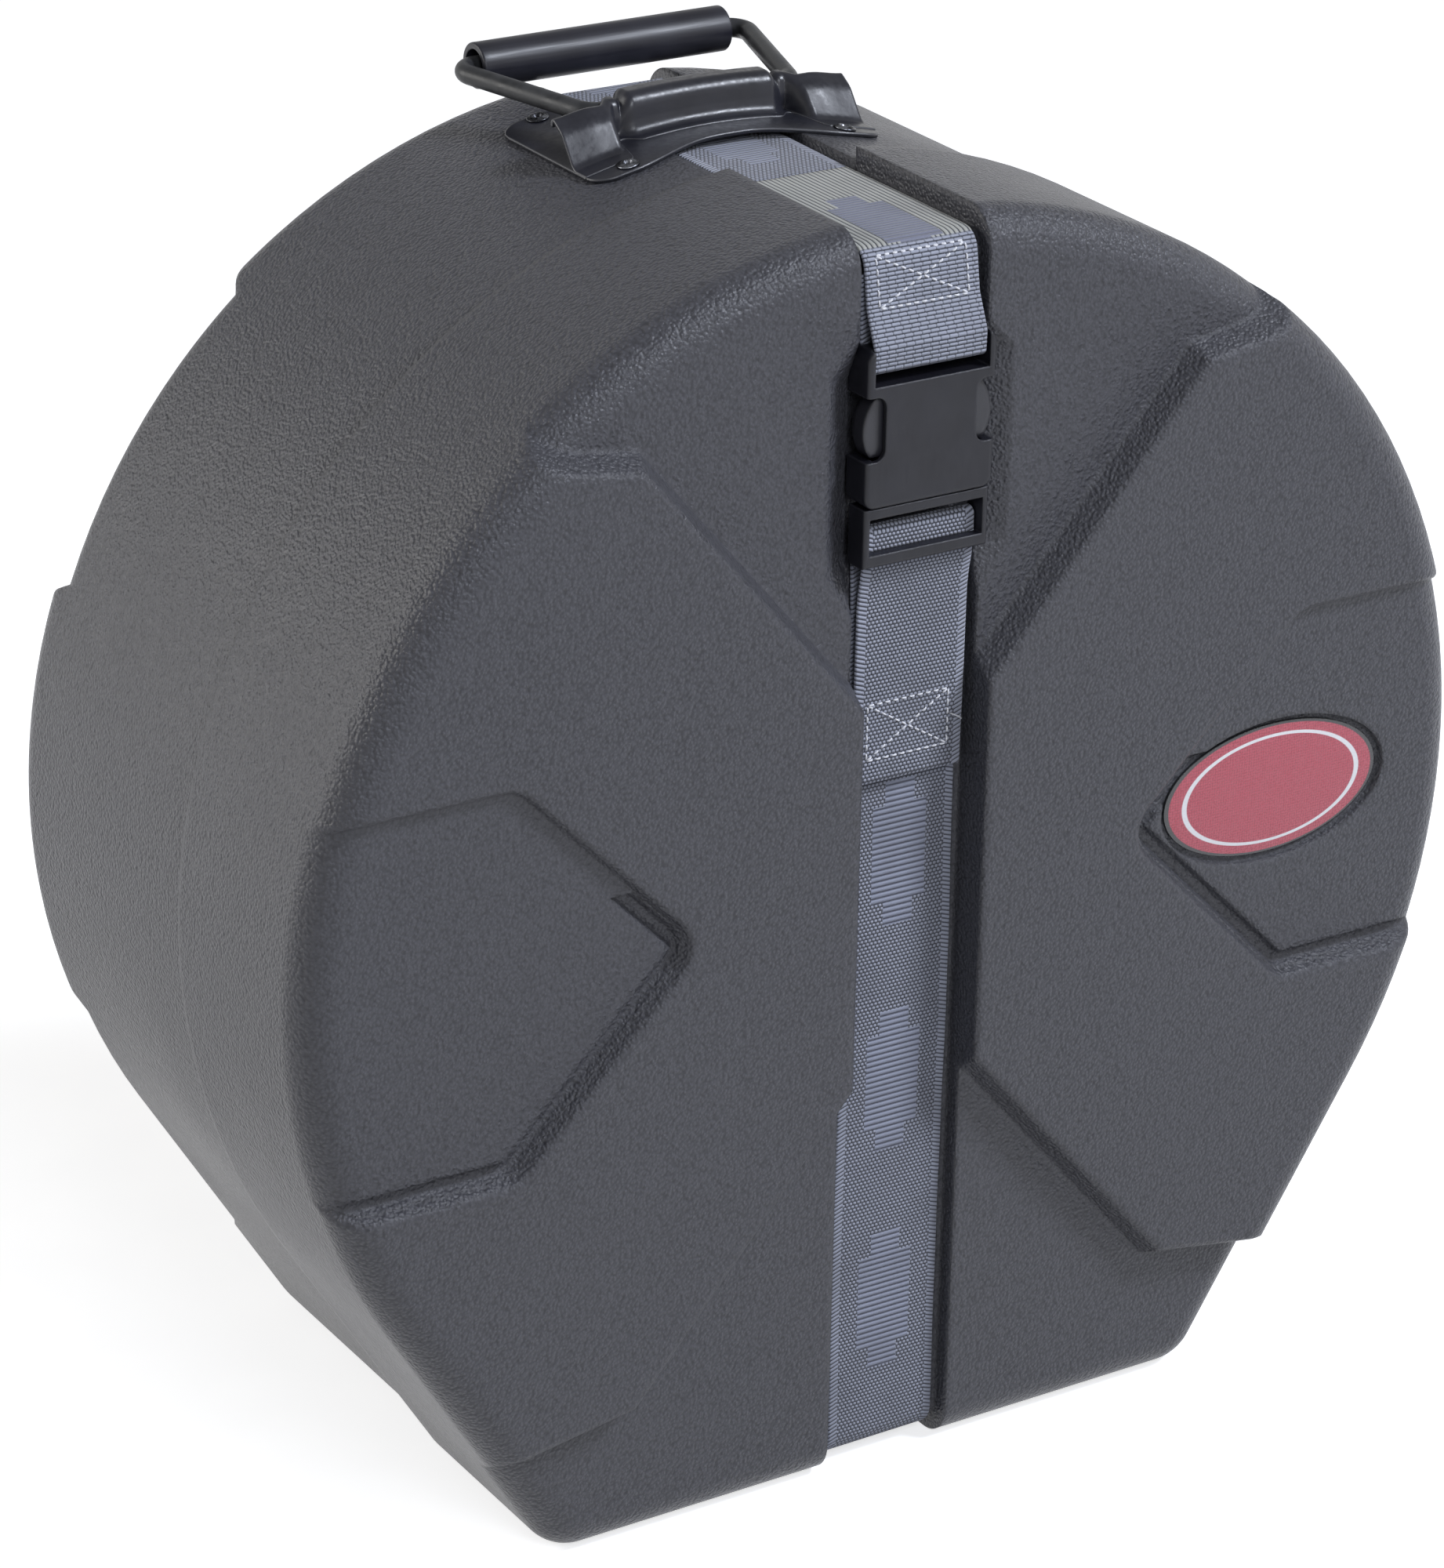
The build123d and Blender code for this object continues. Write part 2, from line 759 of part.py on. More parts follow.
# Handle plate: a curved sheet with a sleeve for the bail and a hood at each end of it
hood_low = centre_height + sqrt(plate_inner**2 - plate_half**2)
hood_brow_height = pivot_height + hood_brow_rise
hood_crest_height = pivot_height + hood_crest_rise
with BuildPart() as handle_plate:
    with BuildSketch(at_depth(plate_front)):
        with Locations((0, centre_height)):
            Circle(plate_outer)
            Circle(plate_inner, mode=Mode.SUBTRACT)
    extrude(amount=plate_front - plate_rear)
    with BuildSketch(Plane.XY.offset(centre_height)) as plan:
        with BuildLine():
            front_left, front_right, rear_right, rear_left = [
                (x, along(depth))
                for x, depth in (
                    (-ear_inner, plate_front),
                    (ear_inner, plate_front),
                    (rear_ear_inner, plate_rear),
                    (-rear_ear_inner, plate_rear),
                )
            ]
            ThreePointArc(front_left, (0, along(plate_front + front_arch_rise)), front_right)
            Polyline(
                front_right,
                (plate_half, along(plate_front)),
                (plate_half, along(plate_rear)),
                rear_right,
            )
            ThreePointArc(rear_right, (0, along(plate_rear - rear_arch_rise)), rear_left)
            Polyline(
                rear_left,
                (-plate_half, along(plate_rear)),
                (-plate_half, along(plate_front)),
                front_left,
            )
        make_face()
        fillet(plan.vertices().filter_by(lambda v: abs(v.X) > (ear_inner + plate_half) / 2), ear_corner)
    extrude(amount=case_height, mode=Mode.INTERSECT)
    with BuildSketch(Plane.YZ):
        for radius, mode in ((sleeve_radius + sheet, Mode.ADD), (sleeve_radius, Mode.SUBTRACT)):
            with Locations((along(pivot_depth), pivot_height)):
                Circle(radius, mode=mode)
                Rectangle(
                    2 * radius, pivot_height - hood_low, align=(Align.CENTER, Align.MAX), mode=mode
                )
    extrude(amount=sleeve_half, both=True)
    for side in (-1, 1):
        with BuildSketch(Plane.YZ.offset(side * sleeve_half)):
            with Locations((along(pivot_depth - sleeve_radius - sheet), pivot_height + sheet)):
                Rectangle(sheet, pivot_height + sheet - hood_low, align=(Align.MIN, Align.MAX))
        extrude(amount=side * (hood_inner - sleeve_half + sheet))
        with BuildSketch(Plane.YZ.offset(side * hood_inner)) as hood:
            with BuildLine():
                Polyline(
                    *centre_line(
                        [
                            (pivot_depth - hood_foot, hood_low),
                            (pivot_depth - hood_brow, hood_brow_height),
                            (pivot_depth - hood_crest, hood_crest_height),
                            (pivot_depth - hood_crest, hood_low),
                        ]
                    ),
                    close=True,
                )
            make_face()
            fillet(hood.vertices().sort_by(Axis.Y)[-2], hood_bend)
            offset(amount=-sheet, mode=Mode.SUBTRACT)
            with Locations((along(pivot_depth - hood_crest), hood_crest_height - 2 * sheet)):
                Rectangle(
                    4 * sheet, pivot_height, align=(Align.CENTER, Align.MAX), mode=Mode.SUBTRACT
                )
            with Locations((along(pivot_depth - hood_foot + 2 * sheet), hood_low - overrun)):
                Rectangle(
                    2 * hood_foot, 2 * overrun, align=(Align.MIN, Align.MIN), mode=Mode.SUBTRACT
                )
        extrude(amount=side * (plate_half - hood_inner))
    with BuildSketch(at_depth(plate_front - overrun)):
        with Locations((0, centre_height)):
            Circle(plate_inner)
    extrude(amount=plate_front - plate_rear - 2 * overrun, mode=Mode.SUBTRACT)
    for place in rivet_places:
        with BuildSketch(place.offset(base_radius)):
            Circle(rivet_hole)
        extrude(amount=overrun, mode=Mode.SUBTRACT)

# Bail: half of it is swept from the middle of the sleeve to the middle of the grip
bail_plane = Plane(
    origin=(0, along(pivot_depth), pivot_height),
    x_dir=(1, 0, 0),
    z_dir=(0, -sin(radians(bail_tilt)), cos(radians(bail_tilt))),
)
with BuildPart() as handle_rod:
    with BuildLine(bail_plane) as bail:
        FilletPolyline(
            (0, 0),
            (pivot_half, 0),
            (bail_half, bail_reach),
            (0, bail_reach),
            radius=[pivot_bend, grip_bend],
        )
    with BuildSketch(Plane(origin=bail.line @ 0, z_dir=bail.line % 0)):
        Circle(rod_radius)
    sweep()
    mirror(about=Plane.YZ)

with BuildPart() as handle_grip:
    with BuildSketch(Plane.YZ):
        with Locations(
            (
                along(pivot_depth) + bail_reach * cos(radians(bail_tilt)),
                pivot_height + bail_reach * sin(radians(bail_tilt)),
            )
        ):
            Circle(grip_radius)
            Circle(rod_radius + grip_bore_gap, mode=Mode.SUBTRACT)
    extrude(amount=grip_half, both=True)

# Rivets through plate and wall, and the washers that spread their load inside
washer_top = base_radius - wall - rivet_seat
with BuildPart() as handle_rivets:
    for place in rivet_places:
        with BuildSketch(place.offset(plate_outer + rivet_seat)):
            Circle(rivet_head_radius)
        head = extrude(amount=rivet_head_height)
        fillet(head.edges().group_by(lambda edge: edge.center().Z)[-1], rivet_dome)
        with BuildSketch(place.offset(washer_top - washer_thickness)):
            Circle(rivet_shank)
        extrude(amount=plate_outer + rivet_seat - washer_top + washer_thickness)
        with BuildSketch(place.offset(washer_top - washer_thickness - rivet_tail_height)):
            Circle(rivet_tail_radius)
        extrude(amount=rivet_tail_height)

with BuildPart() as rivet_washers:
    for place in rivet_places:
        with BuildSketch(place.offset(washer_top - washer_thickness)):
            Circle(washer_radius)
            Circle(rivet_hole, mode=Mode.SUBTRACT)
        extrude(amount=washer_thickness)

# Foam: a pad in the lid, a pad in the base and a band round the wall between them
lid_foam_front = bay_floor + wall + strap_gap
base_foam_back = case_depth - channel_rear - wall - strap_gap
pad_radius = min(outline_radius - channel_top, centre_height - channel_foot) - wall - channel_corner
with BuildPart() as lid_foam:
    with BuildSketch(at_depth(lid_foam_front)):
        with Locations((0, centre_height)):
            Circle(pad_radius)
    extrude(amount=-foam_thickness)
with BuildPart() as base_foam:
    with BuildSketch(at_depth(base_foam_back)):
        with Locations((0, centre_height)):
            Circle(pad_radius)
    extrude(amount=foam_thickness)

band_inset = neck_inset + wall + rivet_seat + washer_thickness + rivet_tail_height + strap_gap
band_front = case_depth - neck_end + wall
band_back = base_foam_back - foam_thickness - strap_gap
with BuildPart() as wall_foam:
    add(blank(band_front, band_back, band_inset))
    with BuildSketch(at_depth(band_front)):
        with Locations((0, centre_height)):
            Circle(outline_radius - band_inset - wall_foam_thickness)
    extrude(amount=band_front - band_back, mode=Mode.SUBTRACT)
    with BuildSketch(Plane.YZ):
        with Locations((0, neck_ceiling - wall - strap_gap)):
            Rectangle(case_depth, outline_radius, align=(Align.CENTER, Align.MIN))
        with Locations((0, neck_floor + wall + strap_gap)):
            Rectangle(case_depth, outline_radius, align=(Align.CENTER, Align.MAX))
    extrude(amount=neck_half + wall + strap_gap, both=True, mode=Mode.SUBTRACT)

# Write every piece to its own file
pieces = {
    "lid_shell": lid_shell.part,
    "base_shell": base_shell.part,
    "badge_plate": badge_plate.part,
    "buckle_socket": buckle_socket.part,
    "buckle_plug": buckle_plug.part,
    "left_prong": prongs[0],
    "right_prong": prongs[1],
    "strap_upper": strap_upper.part,
    "strap_lower": strap_lower.part,
    "strap_rear": strap_rear.part,
    "strap_tail": strap_tail.part,
    "tail_stitching": tail_stitching.part,
    "loop_stitching": loop_stitching.part,
    "handle_plate": handle_plate.part,
    "handle_rod": handle_rod.part,
    "handle_grip": handle_grip.part,
    "handle_rivets": handle_rivets.part,
    "rivet_washers": rivet_washers.part,
    "lid_foam": lid_foam.part,
    "base_foam": base_foam.part,
    "wall_foam": wall_foam.part,
}
os.makedirs("parts", exist_ok=True)
for name, piece in pieces.items():
    piece.label = name
    export_step(piece, f"parts/{name}.step")
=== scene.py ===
# %% [markdown]
# # A hard case for a snare drum
# The case is two moulded plastic shells that slide together, a webbing strap that goes right
# round them, a side-release buckle, a bail handle on a pressed steel plate and a foam lining.
# The measured parts come in as a fixed frame. This lesson gives each of them its finish, and
# makes again, as smooth surfaces, the pieces that are cloth, thread, foam or pressed sheet.

# %% Load the frame
from math import cos, pi, radians, sin

import bmesh
import bpy
import numpy as np
from mathutils import Matrix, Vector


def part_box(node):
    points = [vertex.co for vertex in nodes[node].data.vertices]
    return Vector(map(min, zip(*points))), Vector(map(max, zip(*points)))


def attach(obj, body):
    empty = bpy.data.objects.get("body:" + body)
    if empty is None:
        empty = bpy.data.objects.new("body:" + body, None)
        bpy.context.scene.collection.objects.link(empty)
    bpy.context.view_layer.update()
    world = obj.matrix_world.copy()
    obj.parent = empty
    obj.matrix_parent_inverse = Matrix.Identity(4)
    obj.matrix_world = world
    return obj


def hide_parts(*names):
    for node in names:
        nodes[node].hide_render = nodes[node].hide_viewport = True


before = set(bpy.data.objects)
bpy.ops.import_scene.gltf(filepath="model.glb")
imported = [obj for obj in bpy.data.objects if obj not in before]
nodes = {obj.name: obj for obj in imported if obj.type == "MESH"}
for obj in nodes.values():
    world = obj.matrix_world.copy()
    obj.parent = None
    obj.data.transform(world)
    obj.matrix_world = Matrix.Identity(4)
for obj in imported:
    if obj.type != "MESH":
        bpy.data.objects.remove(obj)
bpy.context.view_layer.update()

print("parts in the frame:", len(nodes))

# %% [markdown]
# ## The camera
# The case was photographed from above and from its left, with a long lens, so the front face
# and the left wall both show. A camera can be aimed with a constraint, but writing its matrix
# from three directions is exact: one line of sight, one sideways and one up, turned a little
# about the line of sight. The lens comes from the focal length in picture pixels.

# %% Aim the camera
azimuth, elevation, roll = radians(-33.0), radians(24.5), radians(-1.37)
target, distance = np.array([0.0, -0.0269, 0.219]), 1.886
sensor_width, horizon = 36.0, 50.0
picture_height, focal_pixels = 2000, 6757
pixels_right, pixels_up = -79, 62

forward = np.array([-sin(azimuth) * cos(elevation), cos(azimuth) * cos(elevation), -sin(elevation)])
level = np.array([cos(azimuth), sin(azimuth), 0.0])
upright = np.cross(level, forward)
right = level * cos(roll) - upright * sin(roll)
up = level * sin(roll) + upright * cos(roll)

lens = bpy.data.cameras.new("camera")
lens.sensor_width = sensor_width
lens.lens = sensor_width * focal_pixels / picture_height
lens.shift_x, lens.shift_y = pixels_right / picture_height, pixels_up / picture_height
lens.clip_end = horizon
camera = bpy.data.objects.new("camera", lens)
camera.matrix_world = Matrix(
    np.vstack([np.column_stack([right, up, -forward, target - forward * distance]), [0, 0, 0, 1]])
)
bpy.context.scene.collection.objects.link(camera)
bpy.context.scene.camera = camera
print("lens in millimetres:", round(lens.lens, 1))

# %% [markdown]
# ## Recipes for finishes
# Every finish below is a small network of nodes under one Principled shader. Clicking such
# networks together is slow to read back, so a little recipe book gives each kind of node a
# short word: noise, cells, sums, ramps and bumps. A plain number in a sum is set on the node,
# and a number that is the same everywhere goes straight on the shader's own socket. The world
# has a tree of nodes too, so the words belong to a tree, and a finish is one with a material.

# %% A recipe book for trees of nodes
class Recipe:
    """A tree of nodes, its last shader and short words for the nodes."""

    def __init__(self, owner, shader):
        owner.use_nodes = True
        self.tree = owner.node_tree
        self.shader = self.tree.nodes[shader]

    def node(self, kind, inputs, **settings):
        """A node with its settings; each input is a number, a colour or another node's output."""
        made = self.tree.nodes.new("ShaderNode" + kind)
        for key, value in settings.items():
            setattr(made, key, value)
        for key, value in inputs.items():
            if isinstance(value, bpy.types.NodeSocket):
                self.tree.links.new(value, made.inputs[key])
            elif value is not None:
                made.inputs[key].default_value = value
        return made

    def place(self):
        """Place on the object, in metres."""
        return self.node("TexCoord", {}).outputs["Object"]

    def stretched(self, vector, scale, turn=(0, 0, 0)):
        """The same place, scaled and turned."""
        return self.node("Mapping", {"Vector": vector, "Scale": scale, "Rotation": turn}).outputs[0]

    def noise(self, vector, scale, detail=2.0, roughness=0.5):
        """Cloudy noise from 0 to 1, with scale lumps to the metre."""
        inputs = {"Vector": vector, "Scale": scale, "Detail": detail, "Roughness": roughness}
        return self.node("TexNoise", inputs).outputs["Fac"]

    def cells(self, vector, scale, feature="SMOOTH_F1"):
        """Distance from the middle of pebble-like cells, with scale cells to the metre."""
        inputs = {"Vector": vector, "Scale": scale}
        return self.node("TexVoronoi", inputs, feature=feature).outputs["Distance"]

    def sum(self, operation, a, b=0.0, c=0.0):
        """One step of arithmetic on a number."""
        return self.node("Math", {0: a, 1: b, 2: c}, operation=operation).outputs[0]

    def product(self, a, b):
        """a times b."""
        return self.sum("MULTIPLY", a, b)

    def ramp(self, value, low, high, to_low=0.0, to_high=1.0):
        """value carried smoothly from the range low to high over to another range."""
        ranges = {"From Min": low, "From Max": high, "To Min": to_low, "To Max": to_high}
        made = self.node("MapRange", {"Value": value, **ranges}, interpolation_type="SMOOTHSTEP")
        return made.outputs["Result"]

    def blend(self, share, a, b):
        """Colour a where share is 0 and colour b where it is 1."""
        a, b = [(*c, 1.0) if isinstance(c, tuple) and len(c) == 3 else c for c in (a, b)]
        return self.node("Mix", {0: share, 6: a, 7: b}, data_type="RGBA").outputs[2]

    def mottle(self, value, low, high, a, b):
        """Colour a where value is low, colour b where it is high and smooth tones between."""
        return self.blend(self.ramp(value, low, high), a, b)

    def bump(self, height, depth, strength=1.0, normal=None):
        """A relief of that depth in metres, laid over a normal."""
        inputs = {"Height": height, "Distance": depth, "Strength": strength, "Normal": normal}
        return self.node("Bump", inputs).outputs[0]

    def rounded(self, radius):
        """The normal with every edge rounded over to that radius in metres."""
        return self.node("Bevel", {"Radius": radius}, samples=6).outputs[0]

    def worn(self, rounded_normal):
        """1 on an edge and 0 on a flat: how far the rounded normal leaves the true one."""
        both = {0: rounded_normal, 1: self.node("NewGeometry", {}).outputs["True Normal"]}
        along = self.node("VectorMath", both, operation="DOT_PRODUCT").outputs["Value"]
        return self.ramp(self.sum("SUBTRACT", 1.0, along), 0.02, 0.2)

    def watched(self):
        """1 for rays from the camera, straight or by a reflection, and 0 for those of light."""
        rays = self.node("LightPath", {}).outputs
        mirrored = self.sum("MAXIMUM", rays["Is Glossy Ray"], rays["Is Transmission Ray"])
        return self.sum("MAXIMUM", rays["Is Camera Ray"], mirrored)

    def set(self, socket, value):
        """Links a worked-out value to the shader."""
        self.tree.links.new(value, self.shader.inputs[socket])


class Finish(Recipe):
    """One material. A socket of its Principled shader is named in small letters."""

    def __init__(self, name, **sockets):
        self.material = bpy.data.materials.new(name)
        super().__init__(self.material, "Principled BSDF")
        for socket, value in sockets.items():
            title = socket.replace("_", " ").title().replace("Ior", "IOR")
            self.shader.inputs[title].default_value = value


def dress(finish, *names):
    """Puts a finish on CAD parts by name."""
    for name in names:
        nodes[name].data.materials.clear()
        nodes[name].data.materials.append(finish.material)
    print(finish.material.name, "on", ", ".join(names))


# %% [markdown]
# ## Moulded shell plastic
# The shells are rotationally moulded polyethylene: near-black grey with a pebbled skin whose
# lumps are about a millimetre across. Two patterns make it, cells for the pebbles and noise to
# break them up. Together they raise the skin, and its tops are painted paler than its hollows:
# painted light on the tops and painted shade in the hollows. Broad clouds vary the tone a little,
# and a rounded normal softens the moulded edges and says where hands have rubbed them paler, in
# streaks.

# %% Finish of the shells
shell_plastic = Finish("shell_plastic", specular_ior_level=0.34)
here = shell_plastic.place()
soft_edge = shell_plastic.rounded(0.0035)
pebbles = shell_plastic.cells(here, 880.0)
broken = shell_plastic.noise(here, 640.0, 3.0, 0.6)
skin = shell_plastic.sum("MULTIPLY_ADD", pebbles, -0.9, shell_plastic.product(broken, 0.8))
clouds = shell_plastic.noise(here, 14.0, 4.0, 0.55)
drawn_out = shell_plastic.stretched(here, (30.0, 400.0, 55.0), (0.3, 0.5, 0.2))
streaks = shell_plastic.ramp(shell_plastic.noise(drawn_out, 1.0, 5.0, 0.6), 0.3, 0.6)
tone = shell_plastic.mottle(clouds, 0.3, 0.7, (0.037, 0.037, 0.043), (0.043, 0.043, 0.049))
# Pebble tops painted paler than the hollows: painted light on the tops, painted shade in the
# hollows.
painted_pebble_light = shell_plastic.ramp(skin, -0.45, 0.35, 0.0, 0.6)
tone = shell_plastic.blend(painted_pebble_light, tone, (0.104, 0.104, 0.118))
rubbed = shell_plastic.product(shell_plastic.worn(soft_edge), streaks)
tone = shell_plastic.blend(shell_plastic.product(rubbed, 0.15), tone, (0.17, 0.17, 0.18))
shell_plastic.set("Base Color", tone)
shell_plastic.set("Roughness", shell_plastic.ramp(clouds, 0.2, 0.8, 0.31, 0.39))
shell_plastic.set("Normal", shell_plastic.bump(skin, 0.00062, 1.0, soft_edge))
dress(shell_plastic, "lid_shell", "base_shell")

# %% [markdown]
# ## Buckle plastic
# The socket, plug and prongs are injection-moulded acetal: black, satin, almost smooth. The
# finish has a faint spark-eroded texture, slow ripples where the plastic sank over its ribs,
# and small rounded edges that catch the light; these edges are also painted paler grey, a
# painted highlight. The buttons on the prongs get a finish of their own, a shade lighter and
# with fuller edges.

# %% Finishes of the buckle
buckle_plastic = Finish("buckle_plastic", specular_ior_level=0.36)
here = buckle_plastic.place()
soft_edge = buckle_plastic.rounded(0.0013)
fine = buckle_plastic.noise(here, 2600.0, 2.0)
sunk = buckle_plastic.noise(here, 70.0, 2.0)
wear = buckle_plastic.noise(buckle_plastic.stretched(here, (900.0, 300.0, 120.0)), 1.0, 4.0)
tone = buckle_plastic.mottle(sunk, 0.35, 0.65, (0.008, 0.008, 0.012), (0.012, 0.012, 0.017))
# The rounded edges are painted paler grey: a painted highlight.
edge = buckle_plastic.product(buckle_plastic.worn(soft_edge), 0.3)
buckle_plastic.set("Base Color", buckle_plastic.blend(edge, tone, (0.10, 0.10, 0.115)))
buckle_plastic.set("Roughness", buckle_plastic.ramp(wear, 0.3, 0.75, 0.30, 0.46))
slow = buckle_plastic.bump(sunk, 0.0006, 0.5, soft_edge)
buckle_plastic.set("Normal", buckle_plastic.bump(fine, 0.00004, 0.6, slow))
dress(buckle_plastic, "buckle_socket", "buckle_plug")

button_plastic = Finish("button_plastic", specular_ior_level=0.5)
here = button_plastic.place()
full_edge = button_plastic.rounded(0.0022)
matt = button_plastic.noise(here, 1800.0, 2.0)
sunk = button_plastic.noise(here, 70.0, 2.0)
tone = button_plastic.blend(sunk, (0.014, 0.014, 0.019), (0.022, 0.022, 0.028))
button_plastic.set("Base Color", tone)
button_plastic.set("Roughness", button_plastic.ramp(matt, 0.3, 0.7, 0.30, 0.42))
button_plastic.set("Normal", button_plastic.bump(matt, 0.00004, 0.6, full_edge))
dress(button_plastic, "left_prong", "right_prong")

# %% [markdown]
# ## Black steel
# The bail is bent rod and its plate is pressed sheet, both under a satin black coat. The coat
# has a slight orange peel, and it is rubbed towards grey on the edges. The washers inside are
# bare plated steel, so they get a metal of their own with fine turning marks.

# %% Finishes of the handle's metal
plate_coat = Finish("plate_coat", specular_ior_level=0.5)
here = plate_coat.place()
peel = plate_coat.noise(here, 520.0, 3.0)
dents = plate_coat.noise(here, 60.0, 2.0)
soft_edge = plate_coat.rounded(0.0006)
tone = plate_coat.mottle(dents, 0.3, 0.7, (0.012, 0.0125, 0.018), (0.018, 0.0185, 0.026))
edge = plate_coat.product(plate_coat.worn(soft_edge), 0.3)
plate_coat.set("Base Color", plate_coat.blend(edge, tone, (0.16, 0.16, 0.17)))
plate_coat.set("Roughness", plate_coat.ramp(peel, 0.3, 0.7, 0.28, 0.40))
slow = plate_coat.bump(dents, 0.0009, 0.5, soft_edge)
plate_coat.set("Normal", plate_coat.bump(peel, 0.00005, 0.6, slow))

rod_coat = Finish("rod_coat", specular_ior_level=0.32)
here = rod_coat.place()
peel = rod_coat.noise(here, 900.0, 3.0)
blotches = rod_coat.noise(rod_coat.stretched(here, (60.0, 60.0, 60.0)), 3.0, 4.0)
tone = rod_coat.mottle(blotches, 0.35, 0.7, (0.024, 0.025, 0.027), (0.042, 0.043, 0.046))
rod_coat.set("Base Color", tone)
rod_coat.set("Roughness", rod_coat.ramp(blotches, 0.3, 0.7, 0.36, 0.5))
rod_coat.set("Normal", rod_coat.bump(peel, 0.00006, 0.7))
dress(rod_coat, "handle_rod")

plated_steel = Finish("plated_steel", metallic=1.0)
here = plated_steel.place()
turning = plated_steel.stretched(here, (300.0, 2200.0, 900.0))
scratched = plated_steel.noise(turning, 1.0, 4.0)
tone = plated_steel.mottle(scratched, 0.3, 0.7, (0.34, 0.34, 0.36), (0.62, 0.62, 0.65))
plated_steel.set("Base Color", tone)
plated_steel.set("Roughness", plated_steel.ramp(scratched, 0.3, 0.7, 0.22, 0.42))
plated_steel.set("Normal", plated_steel.bump(scratched, 0.00003, 0.6))
dress(plated_steel, "rivet_washers")

# %% [markdown]
# ## Surfaces from numbers
# The new pieces are grids of points: a shape is a function of two parameters, worked out for
# the whole grid at once, and neighbouring points are joined by four-sided faces. One helper
# turns any number of such grids into one mesh. Where a grid closes on itself its last row is
# joined to its first, doubles are merged, and the faces are turned outwards.

# %% From grids of points to a mesh
millimetre, half_depth = 0.001, 114.5


def at(x, depth, height):
    """Millimetres across, behind the lid's front and up, as metres in the frame's axes."""
    x, depth, height = np.broadcast_arrays(x, depth, height)
    return np.stack([x, depth - half_depth, height], -1) * millimetre


def corners_of(node):
    """A CAD part's low and high corner, in the millimetres that at() takes."""
    return [np.array(corner) * 1000 + [0.0, half_depth, 0.0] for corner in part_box(node)]


def circle(count):
    """Angles once round, count of them, the first not repeated at the end."""
    return np.linspace(0, 2 * pi, count + 1)[:-1]


def faces_of(rows, columns, wrap_rows, wrap_columns):
    """Corners of the faces between neighbouring points of one grid."""
    index = np.arange(rows * columns).reshape(rows, columns)
    if wrap_rows:
        index = np.concatenate([index, index[:1]])
    if wrap_columns:
        index = np.concatenate([index, index[:, :1]], 1)
    corners = [index[:-1, :-1], index[:-1, 1:], index[1:, 1:], index[1:, :-1]]
    return np.stack(corners, -1).reshape(-1, 4)


def mesh_of(name, grids, finish, wrap_rows=False, wrap_columns=False, cloth=None, closed=True):
    """One object from grids (pieces, rows, columns, 3). cloth is each point's (u, v) in metres.

    Points less than a micrometre apart become one."""
    grids = np.asarray(grids, float)
    grids = grids.reshape((-1,) + grids.shape[-3:])
    pieces, rows, columns = grids.shape[:3]
    one = faces_of(rows, columns, wrap_rows, wrap_columns)
    faces = (one[None] + np.arange(pieces)[:, None, None] * rows * columns).reshape(-1, 4)
    mesh = bpy.data.meshes.new(name)
    mesh.from_pydata(grids.reshape(-1, 3), [], faces.tolist())
    if cloth is not None:
        flat = np.asarray(cloth, np.float32).reshape(-1, 2)
        mesh.uv_layers.new(name="cloth").data.foreach_set("uv", flat[faces.ravel()].ravel())
    same = 1e-6
    work = bmesh.new()
    work.from_mesh(mesh)
    bmesh.ops.remove_doubles(work, verts=work.verts, dist=same)
    bmesh.ops.dissolve_degenerate(work, edges=work.edges, dist=same)
    if closed:
        bmesh.ops.recalc_face_normals(work, faces=work.faces)
    work.to_mesh(mesh)
    work.free()
    mesh.shade_smooth()
    mesh.materials.append(finish.material)
    made = bpy.data.objects.new(name, mesh)
    bpy.context.scene.collection.objects.link(made)
    print(name, len(mesh.vertices), "points", len(mesh.polygons), "faces")
    return made


def turn_up(piece):
    """Turns an open sheet's faces over if they look down."""
    work = bmesh.new()
    work.from_mesh(piece.data)
    if sum(face.normal.z for face in work.faces) < 0:
        bmesh.ops.reverse_faces(work, faces=work.faces)
    work.to_mesh(piece.data)
    work.free()


def ease(value, low, high):
    """0 below low, 1 above high and between them an S: with t the share of the way from low
    to high, three times the square of t less twice its cube."""
    t = np.clip((value - low) / (high - low), 0.0, 1.0)
    return t * t * (3.0 - 2.0 * t)


# %% [markdown]
# ## Woven webbing
# The strap is 44.5 mm polyester webbing. Each pick of the weave shows as a row of beads, every
# second row half a bead along, and at the edges the threads turn back and make ribs. Beads and
# ribs are painted pale and the hollows between them near-black, as painted shade. On top of the
# case the weave shows its lengthwise threads, painted paler and warmer there as painted light
# from above, and where the loop is sewn its cross threads. The pattern must follow the cloth
# round its bends, so it is drawn on a map that each ribbon carries: how far across and how far
# along, in metres. A row of barred blocks with stepped outlines, in blue-grey thread, runs along
# the middle, painted darker between its bars as painted shade.

# %% Finish of the webbing
pick, bead, bar, rib, stripe, cross_thread = 0.0014, 0.0016, 0.0021, 0.0016, 0.0019, 0.0034
repeat, broad_block, narrow_block = 0.088, (0.0185, 0.0112), (0.0275, 0.0062)
ribbed_edge, rib_slant, rib_share = (0.0184, 0.0190), 0.35, 0.85


